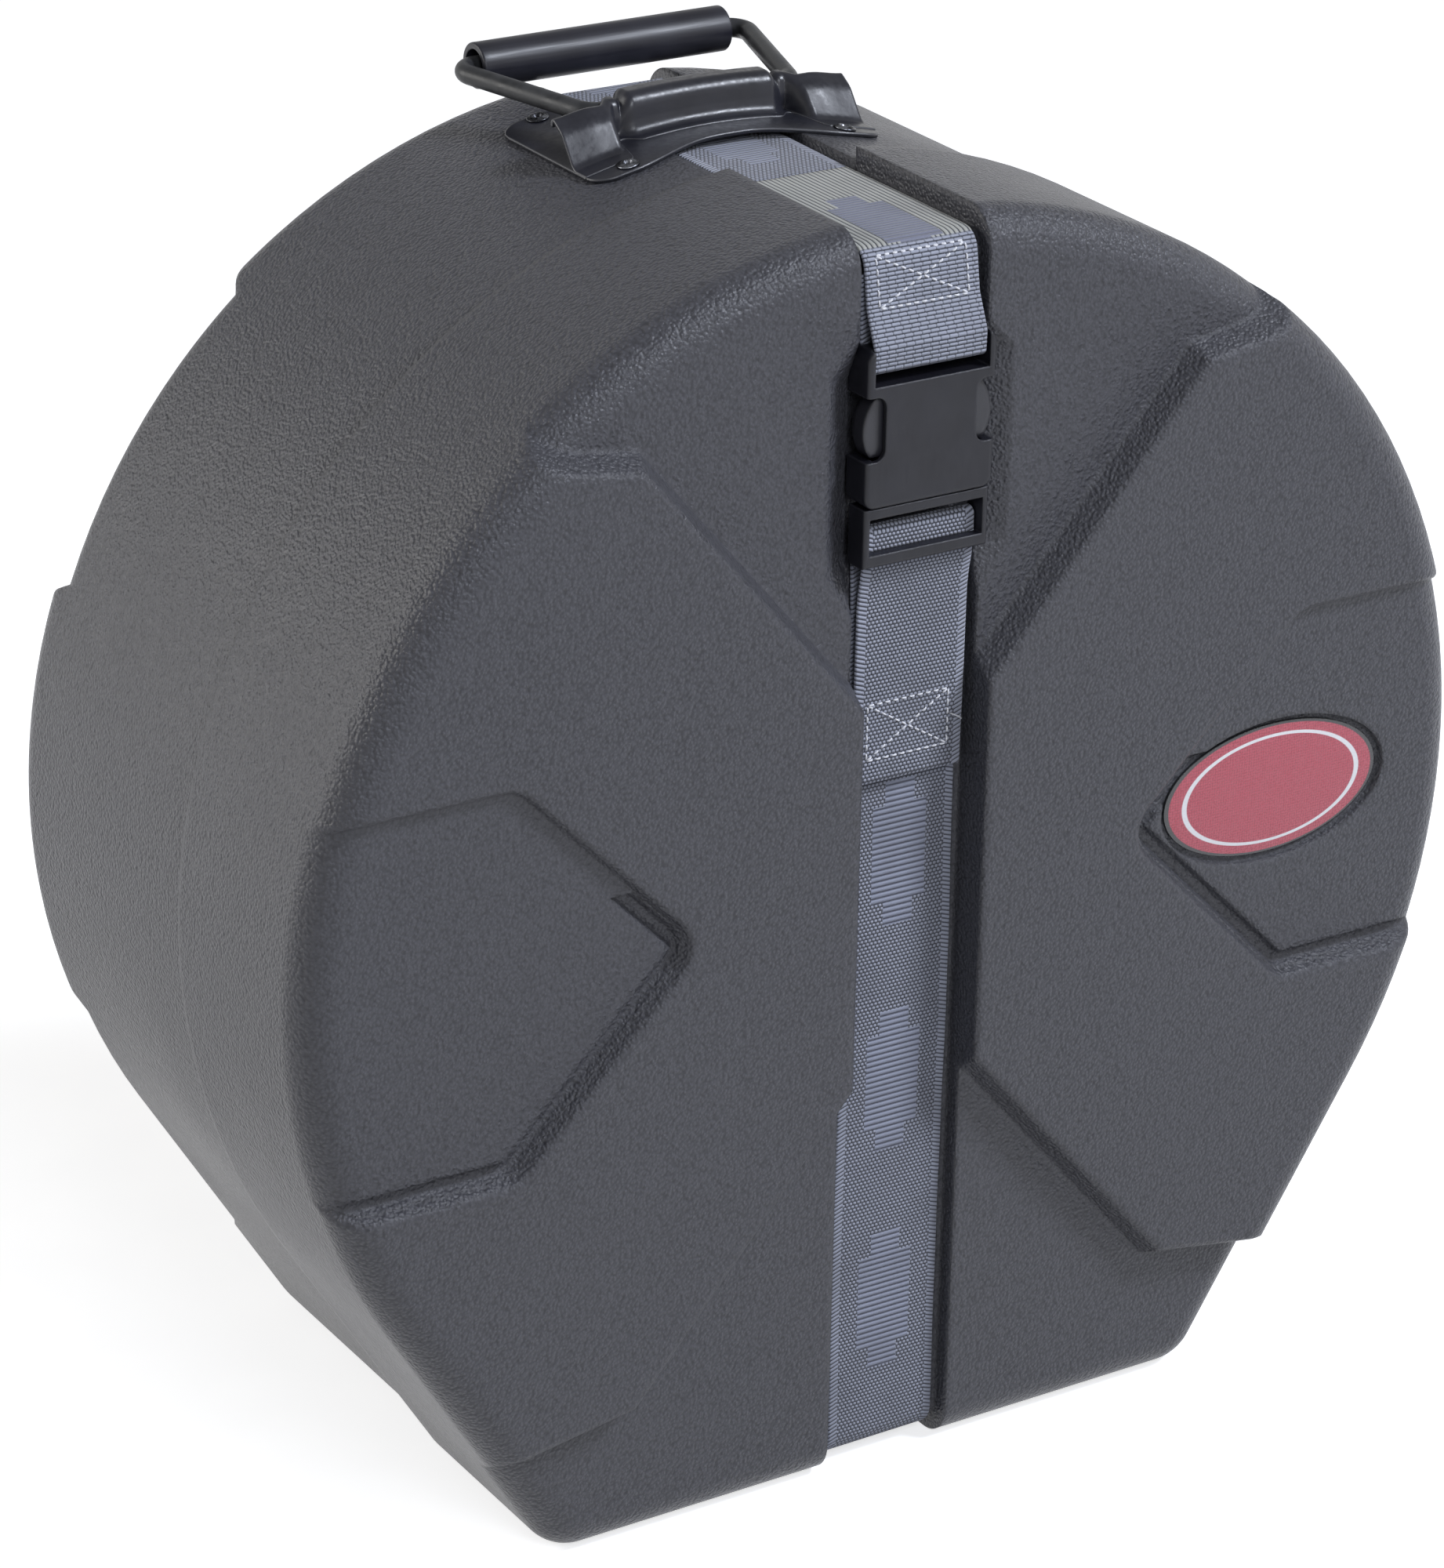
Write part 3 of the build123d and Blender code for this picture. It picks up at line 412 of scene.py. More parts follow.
def webbing_finish(
    name, light, dark, figure_light, figure_dark, figured, painted_top_light=None, top_end=0.0, ribs_end=0.0
):
    """Beads, ribbed edges and, where figured is 1, a row of barred blocks.

    With a painted_top_light, fine lengthwise stripes of that colour take the beads' place up to
    top_end metres along, and bars across the cloth take it from there up to ribs_end."""
    cloth = Finish(name, specular_ior_level=0.2, sheen_weight=0.2, sheen_roughness=0.45)
    split = cloth.node("SeparateXYZ", {0: cloth.node("UVMap", {}, uv_map="cloth").outputs[0]})
    across, length = split.outputs[0], split.outputs[1]
    side = cloth.sum("ABSOLUTE", across)

    def wave(value, width):
        """Humps from 0 to 1, one to a width: the sine of pi value / width, without its sign."""
        return cloth.sum("ABSOLUTE", cloth.sum("SINE", cloth.product(value, pi / width)))

    def between(share, a, b):
        """a where share is 0 and b where it is 1: a plus share times b less a."""
        return cloth.sum("MULTIPLY_ADD", cloth.sum("SUBTRACT", b, a), share, a)

    def until(end):
        """1 up to end metres along the cloth, 0 from a millimetre past it."""
        return cloth.ramp(length, end, end + 0.001, 1.0, 0.0)

    def patch(half_length, half_width, soft=0.0004):
        """1 in a rectangle about the middle of the pattern's repeat and 0 round it."""
        lengthwise = cloth.ramp(reach, half_length, half_length - soft)
        return cloth.product(lengthwise, cloth.ramp(side, half_width, half_width - soft))

    odd = cloth.sum("FLOORED_MODULO", cloth.sum("FLOOR", cloth.sum("DIVIDE", length, pick)), 2.0)
    staggered = cloth.sum("ADD", across, cloth.product(odd, 0.5 * bead))
    ground = cloth.product(wave(length, pick), wave(staggered, bead))
    bars = wave(length, bar)
    place = cloth.sum("SUBTRACT", cloth.sum("FLOORED_MODULO", length, repeat), repeat / 2)
    reach = cloth.sum("ABSOLUTE", place)
    stepped = cloth.sum("MAXIMUM", patch(*broad_block), patch(*narrow_block))
    block = cloth.product(stepped, figured)
    edge = cloth.ramp(side, *ribbed_edge)
    shown = light
    if painted_top_light:
        on_top, on_front = until(top_end), until(ribs_end)
        sewn_across = cloth.ramp(wave(staggered, cross_thread), 0.0, 0.5, 0.45, 1.0)
        ground = between(on_front, ground, cloth.product(wave(length, pick), sewn_across))
        ground = between(on_top, ground, wave(across, stripe))
        block = cloth.product(block, on_top)
        edge = cloth.product(edge, cloth.sum("SUBTRACT", 1.0, on_front))
        # On top the cloth is painted paler and warmer: painted light from above.
        shown = cloth.blend(on_top, light, painted_top_light)
    lean = cloth.sum("MULTIPLY_ADD", side, rib_slant, length)
    ribs = cloth.product(wave(lean, rib), rib_share)
    height = between(edge, between(block, ground, bars), ribs)
    fibre = cloth.noise(cloth.place(), 3200.0, 3.0, 0.65)
    soil = cloth.noise(cloth.place(), 45.0, 3.0)
    # Beads and ribs painted pale and the hollows between them near-black: painted shade in the
    # weave.
    weave_with_painted_shade = cloth.mottle(height, 0.12, 0.72, dark, shown)
    # The blocks' blue-grey is the thread's own; darker between the bars is painted shade.
    figure = cloth.mottle(bars, 0.25, 0.75, figure_dark, figure_light)
    tone = cloth.blend(cloth.product(block, cloth.sum("SUBTRACT", 1.0, edge)), weave_with_painted_shade, figure)
    tone = cloth.blend(cloth.ramp(fibre, 0.35, 0.75, 0.0, 0.22), tone, (0.55, 0.56, 0.60))
    tone = cloth.blend(cloth.ramp(soil, 0.35, 0.75, 0.0, 0.25), tone, (0.09, 0.09, 0.10))
    cloth.set("Base Color", tone)
    cloth.set("Roughness", cloth.ramp(height, 0.0, 1.0, 0.9, 0.62))
    woven = cloth.bump(height, 0.0006, 0.8)
    cloth.set("Normal", cloth.bump(fibre, 0.00008, 0.5, woven))
    return cloth


plain_webbing = webbing_finish(
    "plain_webbing", light=(0.40, 0.42, 0.51), dark=(0.035, 0.037, 0.05),
    figure_light=(0.2, 0.2, 0.25), figure_dark=(0.06, 0.06, 0.08), figured=0.0,
)
figured_webbing = webbing_finish(
    "figured_webbing", light=(0.38, 0.40, 0.49), dark=(0.05, 0.052, 0.066),
    figure_light=(0.30, 0.32, 0.41), figure_dark=(0.085, 0.09, 0.125), figured=1.0,
)
sewn_webbing = webbing_finish(
    "sewn_webbing", light=(0.36, 0.38, 0.46), dark=(0.030, 0.032, 0.045),
    figure_light=(0.19, 0.20, 0.27), figure_dark=(0.14, 0.145, 0.19), figured=1.0,
    painted_top_light=(0.46, 0.46, 0.42), top_end=0.0625, ribs_end=0.106,
)
print("weaves:", [m.name for m in bpy.data.materials if "webbing" in m.name])

# %% [markdown]
# ## The path of a strap
# A strap in a channel runs straight and turns over rounded corners. Its middle line is given
# as corner points with a bend radius each, and the helper lays points along the runs and round
# the bends. The ribbon is then one flat oval section carried along that line. A curve object
# with a bevel could do it too, but then the cloth's own map would have to be made afterwards.

# %% Ribbons along a rounded line
def rounded_line(corners, bends, step=2.0):
    """Points along a line of corners, each rounded to its bend radius, about step apart."""

    def run(start, end):
        """Points on a straight run, with both its ends."""
        count = max(2, int(np.hypot(*(end - start)) / step))
        return start + (end - start) * np.linspace(0, 1, count)[:, None]

    corners, rows = np.asarray(corners, float), []
    before = corners[0]
    for previous, corner, following, bend in zip(corners, corners[1:], corners[2:], bends):
        come, go = corner - previous, following - corner
        come, go = come / np.hypot(*come), go / np.hypot(*go)
        turn = np.arctan2(come[0] * go[1] - come[1] * go[0], come @ go)
        start = corner - come * (bend * np.tan(abs(turn) / 2))
        centre = start + np.sign(turn) * bend * np.array([-come[1], come[0]])
        count = max(4, int(abs(turn) * bend / min(step, bend / 4)))
        angles = np.linspace(0, turn, count)[1:]
        (x, z), c, s = start - centre, np.cos(angles), np.sin(angles)
        rows += [run(before, start), centre + np.stack([x * c - z * s, x * s + z * c], -1)]
        before = rows[-1][-1]
    line = np.concatenate(rows + [run(before, corners[-1])[1:]])
    return line[np.append(True, np.hypot(*np.diff(line, axis=0).T) > 1e-4)]


def along(line):
    """Distance along a line of points."""
    return np.concatenate([[0.0], np.cumsum(np.hypot(*np.diff(line, axis=0).T))])


strap_half, strap_thickness = 22.25, 1.6
slow_wave, quick_wave, sway_wave = 19.0, 7.3, 31.0


def ribbon(name, line, finish, origin=0.0, aside=0.0, ripple=0.15):
    """A flat oval section carried along a line of (depth, height).

    The section is x = half - h + h sin(a), n = h cos(a) round each edge, with h half the
    thickness. Each point is the line's point plus n times its normal, and the map is
    (x, distance along the line from origin). Away from its ends the cloth lies a little
    aside and sways, and ripple is the height of its waves."""
    h = strap_thickness / 2
    straight = strap_half - h
    flat = np.linspace(-straight, straight, 33)
    turn = np.linspace(0, pi, 7)[1:-1]
    bulge = h * np.sin(turn)
    across = np.concatenate([flat, straight + bulge, flat[::-1], -straight - bulge])
    face = np.full_like(flat, h)
    out = np.concatenate([face, h * np.cos(turn), -face, -h * np.cos(turn)])
    travelled = along(line)
    way = np.gradient(line, axis=0)
    way /= np.hypot(*way.T)[:, None]
    normal = np.stack([-way[:, 1], way[:, 0]], -1)
    calm = ease(np.minimum(travelled, travelled[-1] - travelled), 2.0, 30.0)
    wave = np.sin(travelled / slow_wave) + 0.6 * np.sin(travelled / quick_wave + 1.0)
    wave = ripple * calm * wave
    sideways = aside * calm + 0.35 * calm * np.sin(travelled / sway_wave)
    push = out[None] + wave[:, None] * (0.5 + 0.5 * across[None] / strap_half)
    shape = at(
        across[None] + sideways[:, None],
        line[:, :1] + push * normal[:, :1],
        line[:, 1:] + push * normal[:, 1:],
    )
    ends = line[[0, -1]]
    middle = at(across[None], ends[:, :1], ends[:, 1:])
    shape = np.concatenate([middle[:1], shape, middle[1:]])
    v = np.concatenate([travelled[:1], travelled, travelled[-1:]]) + origin
    cloth = np.stack(np.broadcast_arrays(across[None], v[:, None]), -1) * millimetre
    made = mesh_of(name, shape, finish, wrap_columns=True, cloth=cloth)
    print(name, "is", round(travelled[-1]), "mm long")
    return made


# %% [markdown]
# ## Four lengths of strap
# The upper length is sewn into a loop round the socket's bar, the tail is threaded through the
# plug's adjuster and ends in a sewn hem, and the lower and rear lengths lie in the channel.
# The upper, lower and rear lengths meet where the shells part. The pattern's count starts
# there, and for the upper length 12 mm further on.

# %% Make the straps
parting = 92.0
high_run, low_run, front_wall, back_wall = 460.4, 3.9, 16.5, 219.1
upper_line = rounded_line(
    [(parting, high_run), (14.9, high_run), (11.5, 441.0), (5.9, 429.0), (5.9, 420.9),
     (14.1, 420.9), (15.5, 452.0)],
    [7.0, 7.0, 3.5, 1.6, 1.6],
)
strap_upper = ribbon("strap_upper_cloth", upper_line, sewn_webbing, origin=-12.0, ripple=0.0)
lower_line = rounded_line([(parting, low_run), (front_wall, low_run), (front_wall, 352.0)], [9.1])
strap_lower = ribbon("strap_lower_cloth", lower_line, figured_webbing, aside=0.6)
rear_line = rounded_line(
    [(parting, high_run), (back_wall, high_run), (back_wall, low_run), (parting, low_run)],
    [9.1, 9.1],
)
strap_rear = ribbon("strap_rear_cloth", rear_line, figured_webbing, ripple=0.1)
tail_line = rounded_line(
    [(14.5, 350.0), (14.5, 364.6), (9.9, 364.6), (9.9, 352.6), (12.7, 338.0), (12.7, 270.8),
     (14.5, 270.8), (14.5, 303.0)],
    [2.0, 2.0, 60.0, 60.0, 0.9, 0.9],
)
strap_tail = ribbon("strap_tail_cloth", tail_line, plain_webbing, ripple=0.0)
for piece, node, body in (
    (strap_upper, "strap_upper", "lid"),
    (strap_lower, "strap_lower", "lid"),
    (strap_rear, "strap_rear", "base"),
    (strap_tail, "strap_tail", "plug"),
):
    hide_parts(node)
    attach(piece, body)

# %% [markdown]
# ## Stitching
# White thread shows as short raised dashes: it comes up through the cloth, arches over it and
# goes down again. One stitch is a thin bent tube, its tips sunk in the cloth, and all the
# stitches of a seam are that one tube carried to many places at once. The tail's hem is sewn
# in a box with a cross, and the loop over the socket in a box of its own. At the hem's side a
# loose end of the thread sticks out.

# %% Finish and tubes of thread
thread_white = Finish("thread_white", roughness=0.6, specular_ior_level=0.3, sheen_weight=0.3)
here = thread_white.stretched(thread_white.place(), (1.0, 1.0, 1.0), (0.0, 0.6, 0.0))
twist = thread_white.noise(here, 2600.0, 2.0)
tone = thread_white.mottle(twist, 0.3, 0.7, (0.62, 0.62, 0.66), (0.92, 0.92, 0.95))
thread_white.set("Base Color", tone)
thread_white.set("Normal", thread_white.bump(twist, 0.0001, 0.8))

pitch, gap, thread_radius, rise = 3.2, 0.9, 0.36, 0.42
thread_t = np.linspace(0, 1, 9)
thread_turn = circle(6)


def thickness_at(t):
    """1 along a thread, drawn in at both tips: the root of 1 less (2 t - 1) to the sixth."""
    return np.sqrt(np.clip(1.0 - (2.0 * t - 1.0) ** 6, 0.0, 1.0))


def stitches(starts, ends, skin):
    """Bent tubes between each start and end, given as (x, height) on a cloth.

    A stitch's line is p(t) = start + t (end - start), lifted by rise times the sine of pi t
    less 0.45, and the tube round it is drawn in at both tips. skin(height) is the depth of
    the cloth's face."""
    tubes = []
    for start, end in zip(np.asarray(starts, float), np.asarray(ends, float)):
        length = np.hypot(*(end - start))
        count = max(1, round(length / pitch))
        first = np.arange(count)[:, None] / count + 0.5 * gap / length
        share = first + thread_t[None] * (1.0 / count - gap / length)
        spot = start + share[..., None] * (end - start)
        way = (end - start) / length
        lift = rise * (np.sin(pi * thread_t) - 0.45)[None]
        thick = thread_radius * thickness_at(thread_t)[None, :, None]
        aside = thick * np.cos(thread_turn)
        raised = lift[..., None] + thick * np.sin(thread_turn)
        x = spot[..., :1] - way[1] * aside
        z = spot[..., 1:] + way[0] * aside
        tubes.append(at(x, skin(z) - raised, z))
    return np.concatenate(tubes)


def sewn_box(left, right_edge, low, high):
    """Starts and ends of the seams of a box with a cross in it."""
    a, b, c, d = (left, low), (right_edge, low), (left, high), (right_edge, high)
    return [a, c, a, b, a, c], [b, d, c, d, d, b]


# %% Sew the hem and the loop
def tail_face(z, face_depth=11.88):
    """Depth of the tail's face, the same at every height."""
    return np.full_like(z, face_depth)


hem_tubes = stitches(*sewn_box(-16.8, 16.0, 279.3, 299.7), tail_face)
end_t, end_turn, end_radius = thread_t[:, None], thread_turn[None], 0.27
thin, bow = end_radius * thickness_at(end_t), 0.8 * np.sin(pi * end_t)
loose_end = at(
    16.2 + 5.6 * end_t + bow + thin * np.cos(end_turn),
    11.5 - bow - thin * np.sin(end_turn),
    290.5 - 3.6 * end_t + 0.5 * thin * np.cos(end_turn),
)
tail_tubes = np.concatenate([hem_tubes, loose_end[None]])
tail_stitching = mesh_of("tail_thread", tail_tubes, thread_white, wrap_columns=True)

front_run = upper_line[:np.argmin(upper_line[:, 1])]
front_run = front_run[(front_run[:, 0] < 17.5) & (front_run[:, 1] > 425.0)]
front_run = front_run[np.argsort(front_run[:, 1])]


def loop_face(z, line_to_face=0.83):
    """Depth of the loop's face: just over half the strap's thickness before its line."""
    return np.interp(z, front_run[:, 1], front_run[:, 0]) - line_to_face


row_low, row_high = 441.0, 458.0
loop_tubes = stitches(*sewn_box(-17.6, 17.6, row_low, row_high), loop_face)
loop_stitching = mesh_of("loop_thread", loop_tubes, thread_white, wrap_columns=True)
for piece, node, body in (
    (tail_stitching, "tail_stitching", "plug"),
    (loop_stitching, "loop_stitching", "lid"),
):
    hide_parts(node)
    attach(piece, body)

# %% [markdown]
# ## The handle plate
# The plate is one steel sheet pressed over the top of the case. A barrel stands up in its
# middle and wraps the bail, and at each end a hood rolls over the rod and slopes down to a
# foot; between them the sheet is pinched into a dark crease. Each of those three is one
# cross-section, and the pressed sheet is a smooth change from one to the next along the
# barrel's length, so it is a single grid, thickened afterwards.

# %% Sections of the pressed sheet
crown_radius, round_centre = 233.25, 232.0
bed_middle, outline_points = 464.6, 84


def crown(x):
    """Height of the plate's bed: the round top of the case at x."""
    return round_centre + np.sqrt(crown_radius**2 - x**2)


def section(corners, bends, x, top, raised=0.0):
    """Depth and height of the sheet at each x, from one outline that stands on the bed.

    The outline is a rounded line at bed height 464.6. At x its heights are stretched to run
    from the bed there, h(x), up to the same top: z = h + (z0 - 464.6)(top + raised - h) /
    (top - 464.6). Its points are spread evenly, so that any two outlines can be mixed."""
    outline = rounded_line(corners, bends, 0.4)
    travelled = along(outline)
    even = np.linspace(0, travelled[-1], outline_points)
    depth, height = [np.interp(even, travelled, outline[:, axis])[None] for axis in (0, 1)]
    bed, crest = crown(x)[:, None], top + np.broadcast_to(raised, x.shape)[:, None]
    return depth + 0 * bed, bed + (height - bed_middle) * (crest - bed) / (top - bed_middle)


# %% Press the plate
half_plate, corner_radius = 58.4, 9.0
arch_rise, arch_reach, slump_depth = 1.2, 32.0, 2.2
runs = [np.linspace(0, 27, 32), np.linspace(27, 41, 50)[1:], np.linspace(41, half_plate, 32)[1:]]
half_x = np.concatenate(runs)
plate_x = np.concatenate([-half_x[:0:-1], half_x])
reach = np.abs(plate_x)
arch = arch_rise * (1 - (np.minimum(reach, arch_reach) / arch_reach) ** 2)
slump = -slump_depth * ease(reach, 44.0, 60.0)
barrel = section(
    [(142.5, 464.7), (148.6, 464.7), (150.0, 469.5), (151.4, 476.9), (161.2, 476.9),
     (162.9, 471.0), (163.2, 464.9)],
    [4.5, 8.0, 4.2, 4.2, 6.0], plate_x, 476.9, arch,
)
crease = section(
    [(147.5, 464.7), (152.0, 464.7), (152.35, 470.5), (153.7, 475.2), (157.6, 475.35)],
    [2.2, 4.0, 2.6], plate_x, 475.35,
)
hood = section(
    [(130.0, 464.7), (138.6, 464.7), (147.0, 472.3), (152.9, 474.7), (153.1, 473.0)],
    [6.0, 9.0, 0.7], plate_x, 474.7, slump,
)
to_crease = ease(reach, 27.5, 33.5)[:, None]
to_hood = ease(reach, 34.5, 40.0)[:, None]
cover_depth, cover_height = [
    (1 - to_crease) * b + to_crease * ((1 - to_hood) * c + to_hood * h)
    for b, c, h in zip(barrel, crease, hood)
]
cover_grid = at(plate_x[:, None], cover_depth, cover_height)
cover = mesh_of("handle_cover", cover_grid, plate_coat, closed=False)

bed_share = np.linspace(0, 1, 70)[None]
past_corner = np.clip(reach - (half_plate - corner_radius), 0.0, corner_radius)
corner = corner_radius - np.sqrt(corner_radius**2 - past_corner**2)
front_edge = 131.0 - 9.3 * ease(reach, 6.0, 45.0) + corner
rear_edge = 178.0 + 13.9 * ease(reach, 16.0, 42.0) - corner
bed_depth = front_edge[:, None] + (rear_edge - front_edge)[:, None] * bed_share
bed_grid = at(plate_x[:, None], bed_depth, crown(plate_x)[:, None])
bed = mesh_of("handle_bed", bed_grid, plate_coat, closed=False)

for piece in (cover, bed):
    turn_up(piece)
    wall_of_sheet = piece.modifiers.new("sheet", "SOLIDIFY")
    wall_of_sheet.thickness = 0.0014 if piece is bed else 0.0012
    wall_of_sheet.offset = 0.0 if piece is bed else 0.6
    wall_of_sheet.use_even_offset = True
    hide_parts("handle_plate")
    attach(piece, "base")

# %% [markdown]
# ## Eyelet rivets
# Four tubular rivets hold the plate. Each head is a flange with its bore's lip rolled over
# into a ring, and a hollow in the middle. It is a profile turned about the rivet's own axis,
# which leans with the round of the case, so the profile is worked out once and carried to the
# four places with three directions each. The heads are blackened, with patches of bright metal
# laid over them by a noise.

# %% Finish and turning of the rivets
rivet_black = Finish("rivet_black", metallic=1.0)
here = rivet_black.place()
grit = rivet_black.noise(here, 1400.0, 4.0)
turned_over = rivet_black.stretched(here, (260.0, 260.0, 260.0), (0.4, 0.2, 0.7))
bright = rivet_black.ramp(rivet_black.noise(turned_over, 1.0, 3.0), 0.42, 0.66)
tone = rivet_black.blend(bright, (0.045, 0.046, 0.052), (0.27, 0.28, 0.31))
rivet_black.set("Base Color", tone)
rivet_black.set("Roughness", rivet_black.ramp(grit, 0.3, 0.7, 0.24, 0.44))
rivet_black.set("Normal", rivet_black.bump(grit, 0.00005, 0.6))

head_share = 0.84
profile = np.array([
    (0.0, -0.5), (1.0, -0.5), (1.5, -0.25), (1.8, 0.25), (2.15, 0.7), (2.6, 0.92), (3.1, 0.85),
    (3.5, 0.55), (3.8, 0.4), (4.2, 0.38), (4.55, 0.3), (4.75, 0.1), (4.7, -0.25), (0.0, -0.6),
])
spin = circle(40)
rivet_x = np.array([-43.8, 43.8, -43.8, 43.8])
rivet_depth = np.array([127.0065, 127.0065, 188.0065, 188.0065])
seat_radius, sheet_radius = 234.35, 234.0
lean = np.arcsin(rivet_x / sheet_radius)[:, None, None]
side_way = head_share * profile[None, :, 0, None] * np.cos(spin)
depth_way = head_share * profile[None, :, 0, None] * np.sin(spin)
out_way = (seat_radius + profile[None, :, 1, None]) * np.ones_like(spin)
turned = at(
    side_way * np.cos(lean) + out_way * np.sin(lean),
    rivet_depth[:, None, None] + depth_way,
    round_centre - side_way * np.sin(lean) + out_way * np.cos(lean),
)
rivet_heads = mesh_of("rivet_heads", turned, rivet_black, wrap_columns=True)
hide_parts("handle_rivets")
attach(rivet_heads, "base")

# %% [markdown]
# ## The rubber grip
# The grip is a length of thick rubber hose on the bail, cut square, so its hollow end shows
# round the rod. Its profile goes along the outside, rounds over a small cut edge, crosses the
# end and goes back into the bore. The rubber is smooth with a soft broad sheen.

# %% Finish and turning of the grip
grip_rubber = Finish("grip_rubber", specular_ior_level=0.45)
here = grip_rubber.place()
drag = grip_rubber.noise(grip_rubber.stretched(here, (25.0, 900.0, 900.0)), 1.0, 4.0)
bloom = grip_rubber.noise(here, 55.0, 3.0)
tone = grip_rubber.mottle(bloom, 0.35, 0.7, (0.012, 0.012, 0.018), (0.019, 0.019, 0.027))
grip_rubber.set("Base Color", tone)
grip_rubber.set("Roughness", grip_rubber.ramp(drag, 0.3, 0.7, 0.34, 0.48))
grip_rubber.set("Normal", grip_rubber.bump(drag, 0.00006, 0.5))

low, high = corners_of("handle_grip")
grip_depth, grip_height = (low[1:] + high[1:]) / 2
half_grip = (high[0] - low[0]) / 2
outside, cut_edge, mouth, mouth_edge = 8.25, 0.8, 6.4, 0.5
rim = np.linspace(0, pi / 2, 6)
cut_x = half_grip - cut_edge * (1 - np.sin(rim))
mouth_x = half_grip - mouth_edge * (1 - np.cos(rim))
half_profile = np.concatenate([
    np.stack([np.linspace(0, half_grip - cut_edge, 24), np.full(24, outside)], -1),
    np.stack([cut_x, outside - cut_edge * (1 - np.cos(rim))], -1)[1:],
    np.stack([mouth_x, mouth - mouth_edge * np.sin(rim)], -1),
    [(half_grip - 6.0, 5.7), (half_grip - 12.0, 4.4), (half_grip - 16.0, 3.72), (0.0, 3.7)],
])
whole = np.concatenate([half_profile, half_profile[-2::-1] * [-1, 1]])
spin = circle(64)
hose = at(
    whole[:, :1] + 0 * spin,
    grip_depth + whole[:, 1:] * np.cos(spin),
    grip_height + whole[:, 1:] * np.sin(spin),
)
grip = mesh_of("grip_hose", hose, grip_rubber, wrap_rows=True, wrap_columns=True)
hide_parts("handle_grip")
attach(grip, "handle")

# %% [markdown]
# ## The badge
# An oval badge of soft clear resin over red foil sits in a shallow seat on the lid, with a
# plain border and a pale inner ring. The dome is a function of two parameters, how far out and
# which way round, and the print is drawn from the same oval distance, with a fine crossed
# texture like the foil's.

# %% Finish and dome of the badge
badge_low, badge_high = corners_of("badge_plate")
(badge_x, _, badge_z), badge_face = (badge_low + badge_high) / 2, badge_low[1]
badge_a, _, badge_b = (badge_high - badge_low) / 2
resin = Finish("badge_resin", specular_ior_level=0.5, coat_weight=0.6, coat_roughness=0.08)
split = resin.node("SeparateXYZ", {0: resin.place()})
x, z = split.outputs[0], split.outputs[2]
over = resin.sum("SUBTRACT", x, badge_x * millimetre)
over = resin.sum("DIVIDE", over, badge_a * millimetre)
upward = resin.sum("SUBTRACT", z, badge_z * millimetre)
upward = resin.sum("DIVIDE", upward, badge_b * millimetre)
oval = resin.sum("SQRT", resin.sum("MULTIPLY_ADD", over, over, resin.product(upward, upward)))
foil_pitch = 0.0021
foil_turns = 2 * pi / foil_pitch
cross_1 = resin.sum("SINE", resin.product(resin.sum("ADD", x, z), foil_turns))
cross_2 = resin.sum("SINE", resin.product(resin.sum("SUBTRACT", x, z), foil_turns))
foil = resin.product(cross_1, cross_2)
glitter = resin.noise(resin.place(), 1500.0, 2.0)
red = resin.mottle(foil, -0.5, 0.6, (0.33, 0.022, 0.045), (0.50, 0.045, 0.085))
red = resin.blend(resin.ramp(glitter, 0.45, 0.8, 0.0, 0.5), red, (0.62, 0.12, 0.17))
white_ring = resin.product(resin.ramp(oval, 0.790, 0.800), resin.ramp(oval, 0.845, 0.835))
print_tone = resin.blend(white_ring, red, (0.82, 0.82, 0.83))
border = resin.ramp(oval, 0.955, 0.965)
resin.set("Base Color", resin.blend(border, print_tone, (0.02, 0.02, 0.022)))
resin.set("Roughness", resin.ramp(glitter, 0.3, 0.7, 0.24, 0.36))
resin.set("Normal", resin.bump(resin.noise(resin.place(), 90.0, 2.0), 0.0003, 0.3))

rim_rise, dome_rise, seat_depth = 0.55, 0.798, 0.6
way_out = np.sin(np.linspace(0, pi / 2, 22))
share = np.append(way_out, [1.0, 1.0])[:, None]
dome = rim_rise + dome_rise * (1 - way_out**3.2) ** 0.75
dome = np.append(dome, [0.3, -1.1])[:, None]
turn = circle(96)
badge_shape = at(
    badge_x + badge_a * share * np.cos(turn),
    badge_face + seat_depth - dome,
    badge_z + badge_b * share * np.sin(turn),
)
badge = mesh_of("badge_dome", badge_shape, resin, wrap_columns=True)
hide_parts("badge_plate")
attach(badge, "lid")

# %% [markdown]
# ## Foam lining
# A round pad in the lid, another in the base and a thick band round the wall hold the drum.
# They are cut from charcoal foam: flat, with a slow wave in each pad's face and edges that
# give. The pads are turned profiles. The band fills the odd space between a round drum and a
# shell with feet, so it starts from its CAD solid, is built again from small even cells, and
# is then relaxed.

# %% Finish of the foam and the two pads
foam_grey = Finish(
    "foam_grey", roughness=0.95, specular_ior_level=0.15, sheen_weight=0.35, sheen_roughness=0.6
)
here = foam_grey.place()
pores = foam_grey.cells(here, 900.0, "F1")
hollows = foam_grey.noise(here, 400.0, 4.0, 0.65)
tone = foam_grey.mottle(pores, 0.1, 0.6, (0.020, 0.020, 0.022), (0.062, 0.062, 0.066))
foam_grey.set("Base Color", tone)
pitted = foam_grey.sum("MULTIPLY_ADD", pores, -0.8, hollows)
foam_grey.set("Normal", foam_grey.bump(pitted, 0.0006, 0.8))

pad_edge, pad_rings, dip, dip_reach = 3.0, 40, 0.35, 23.0


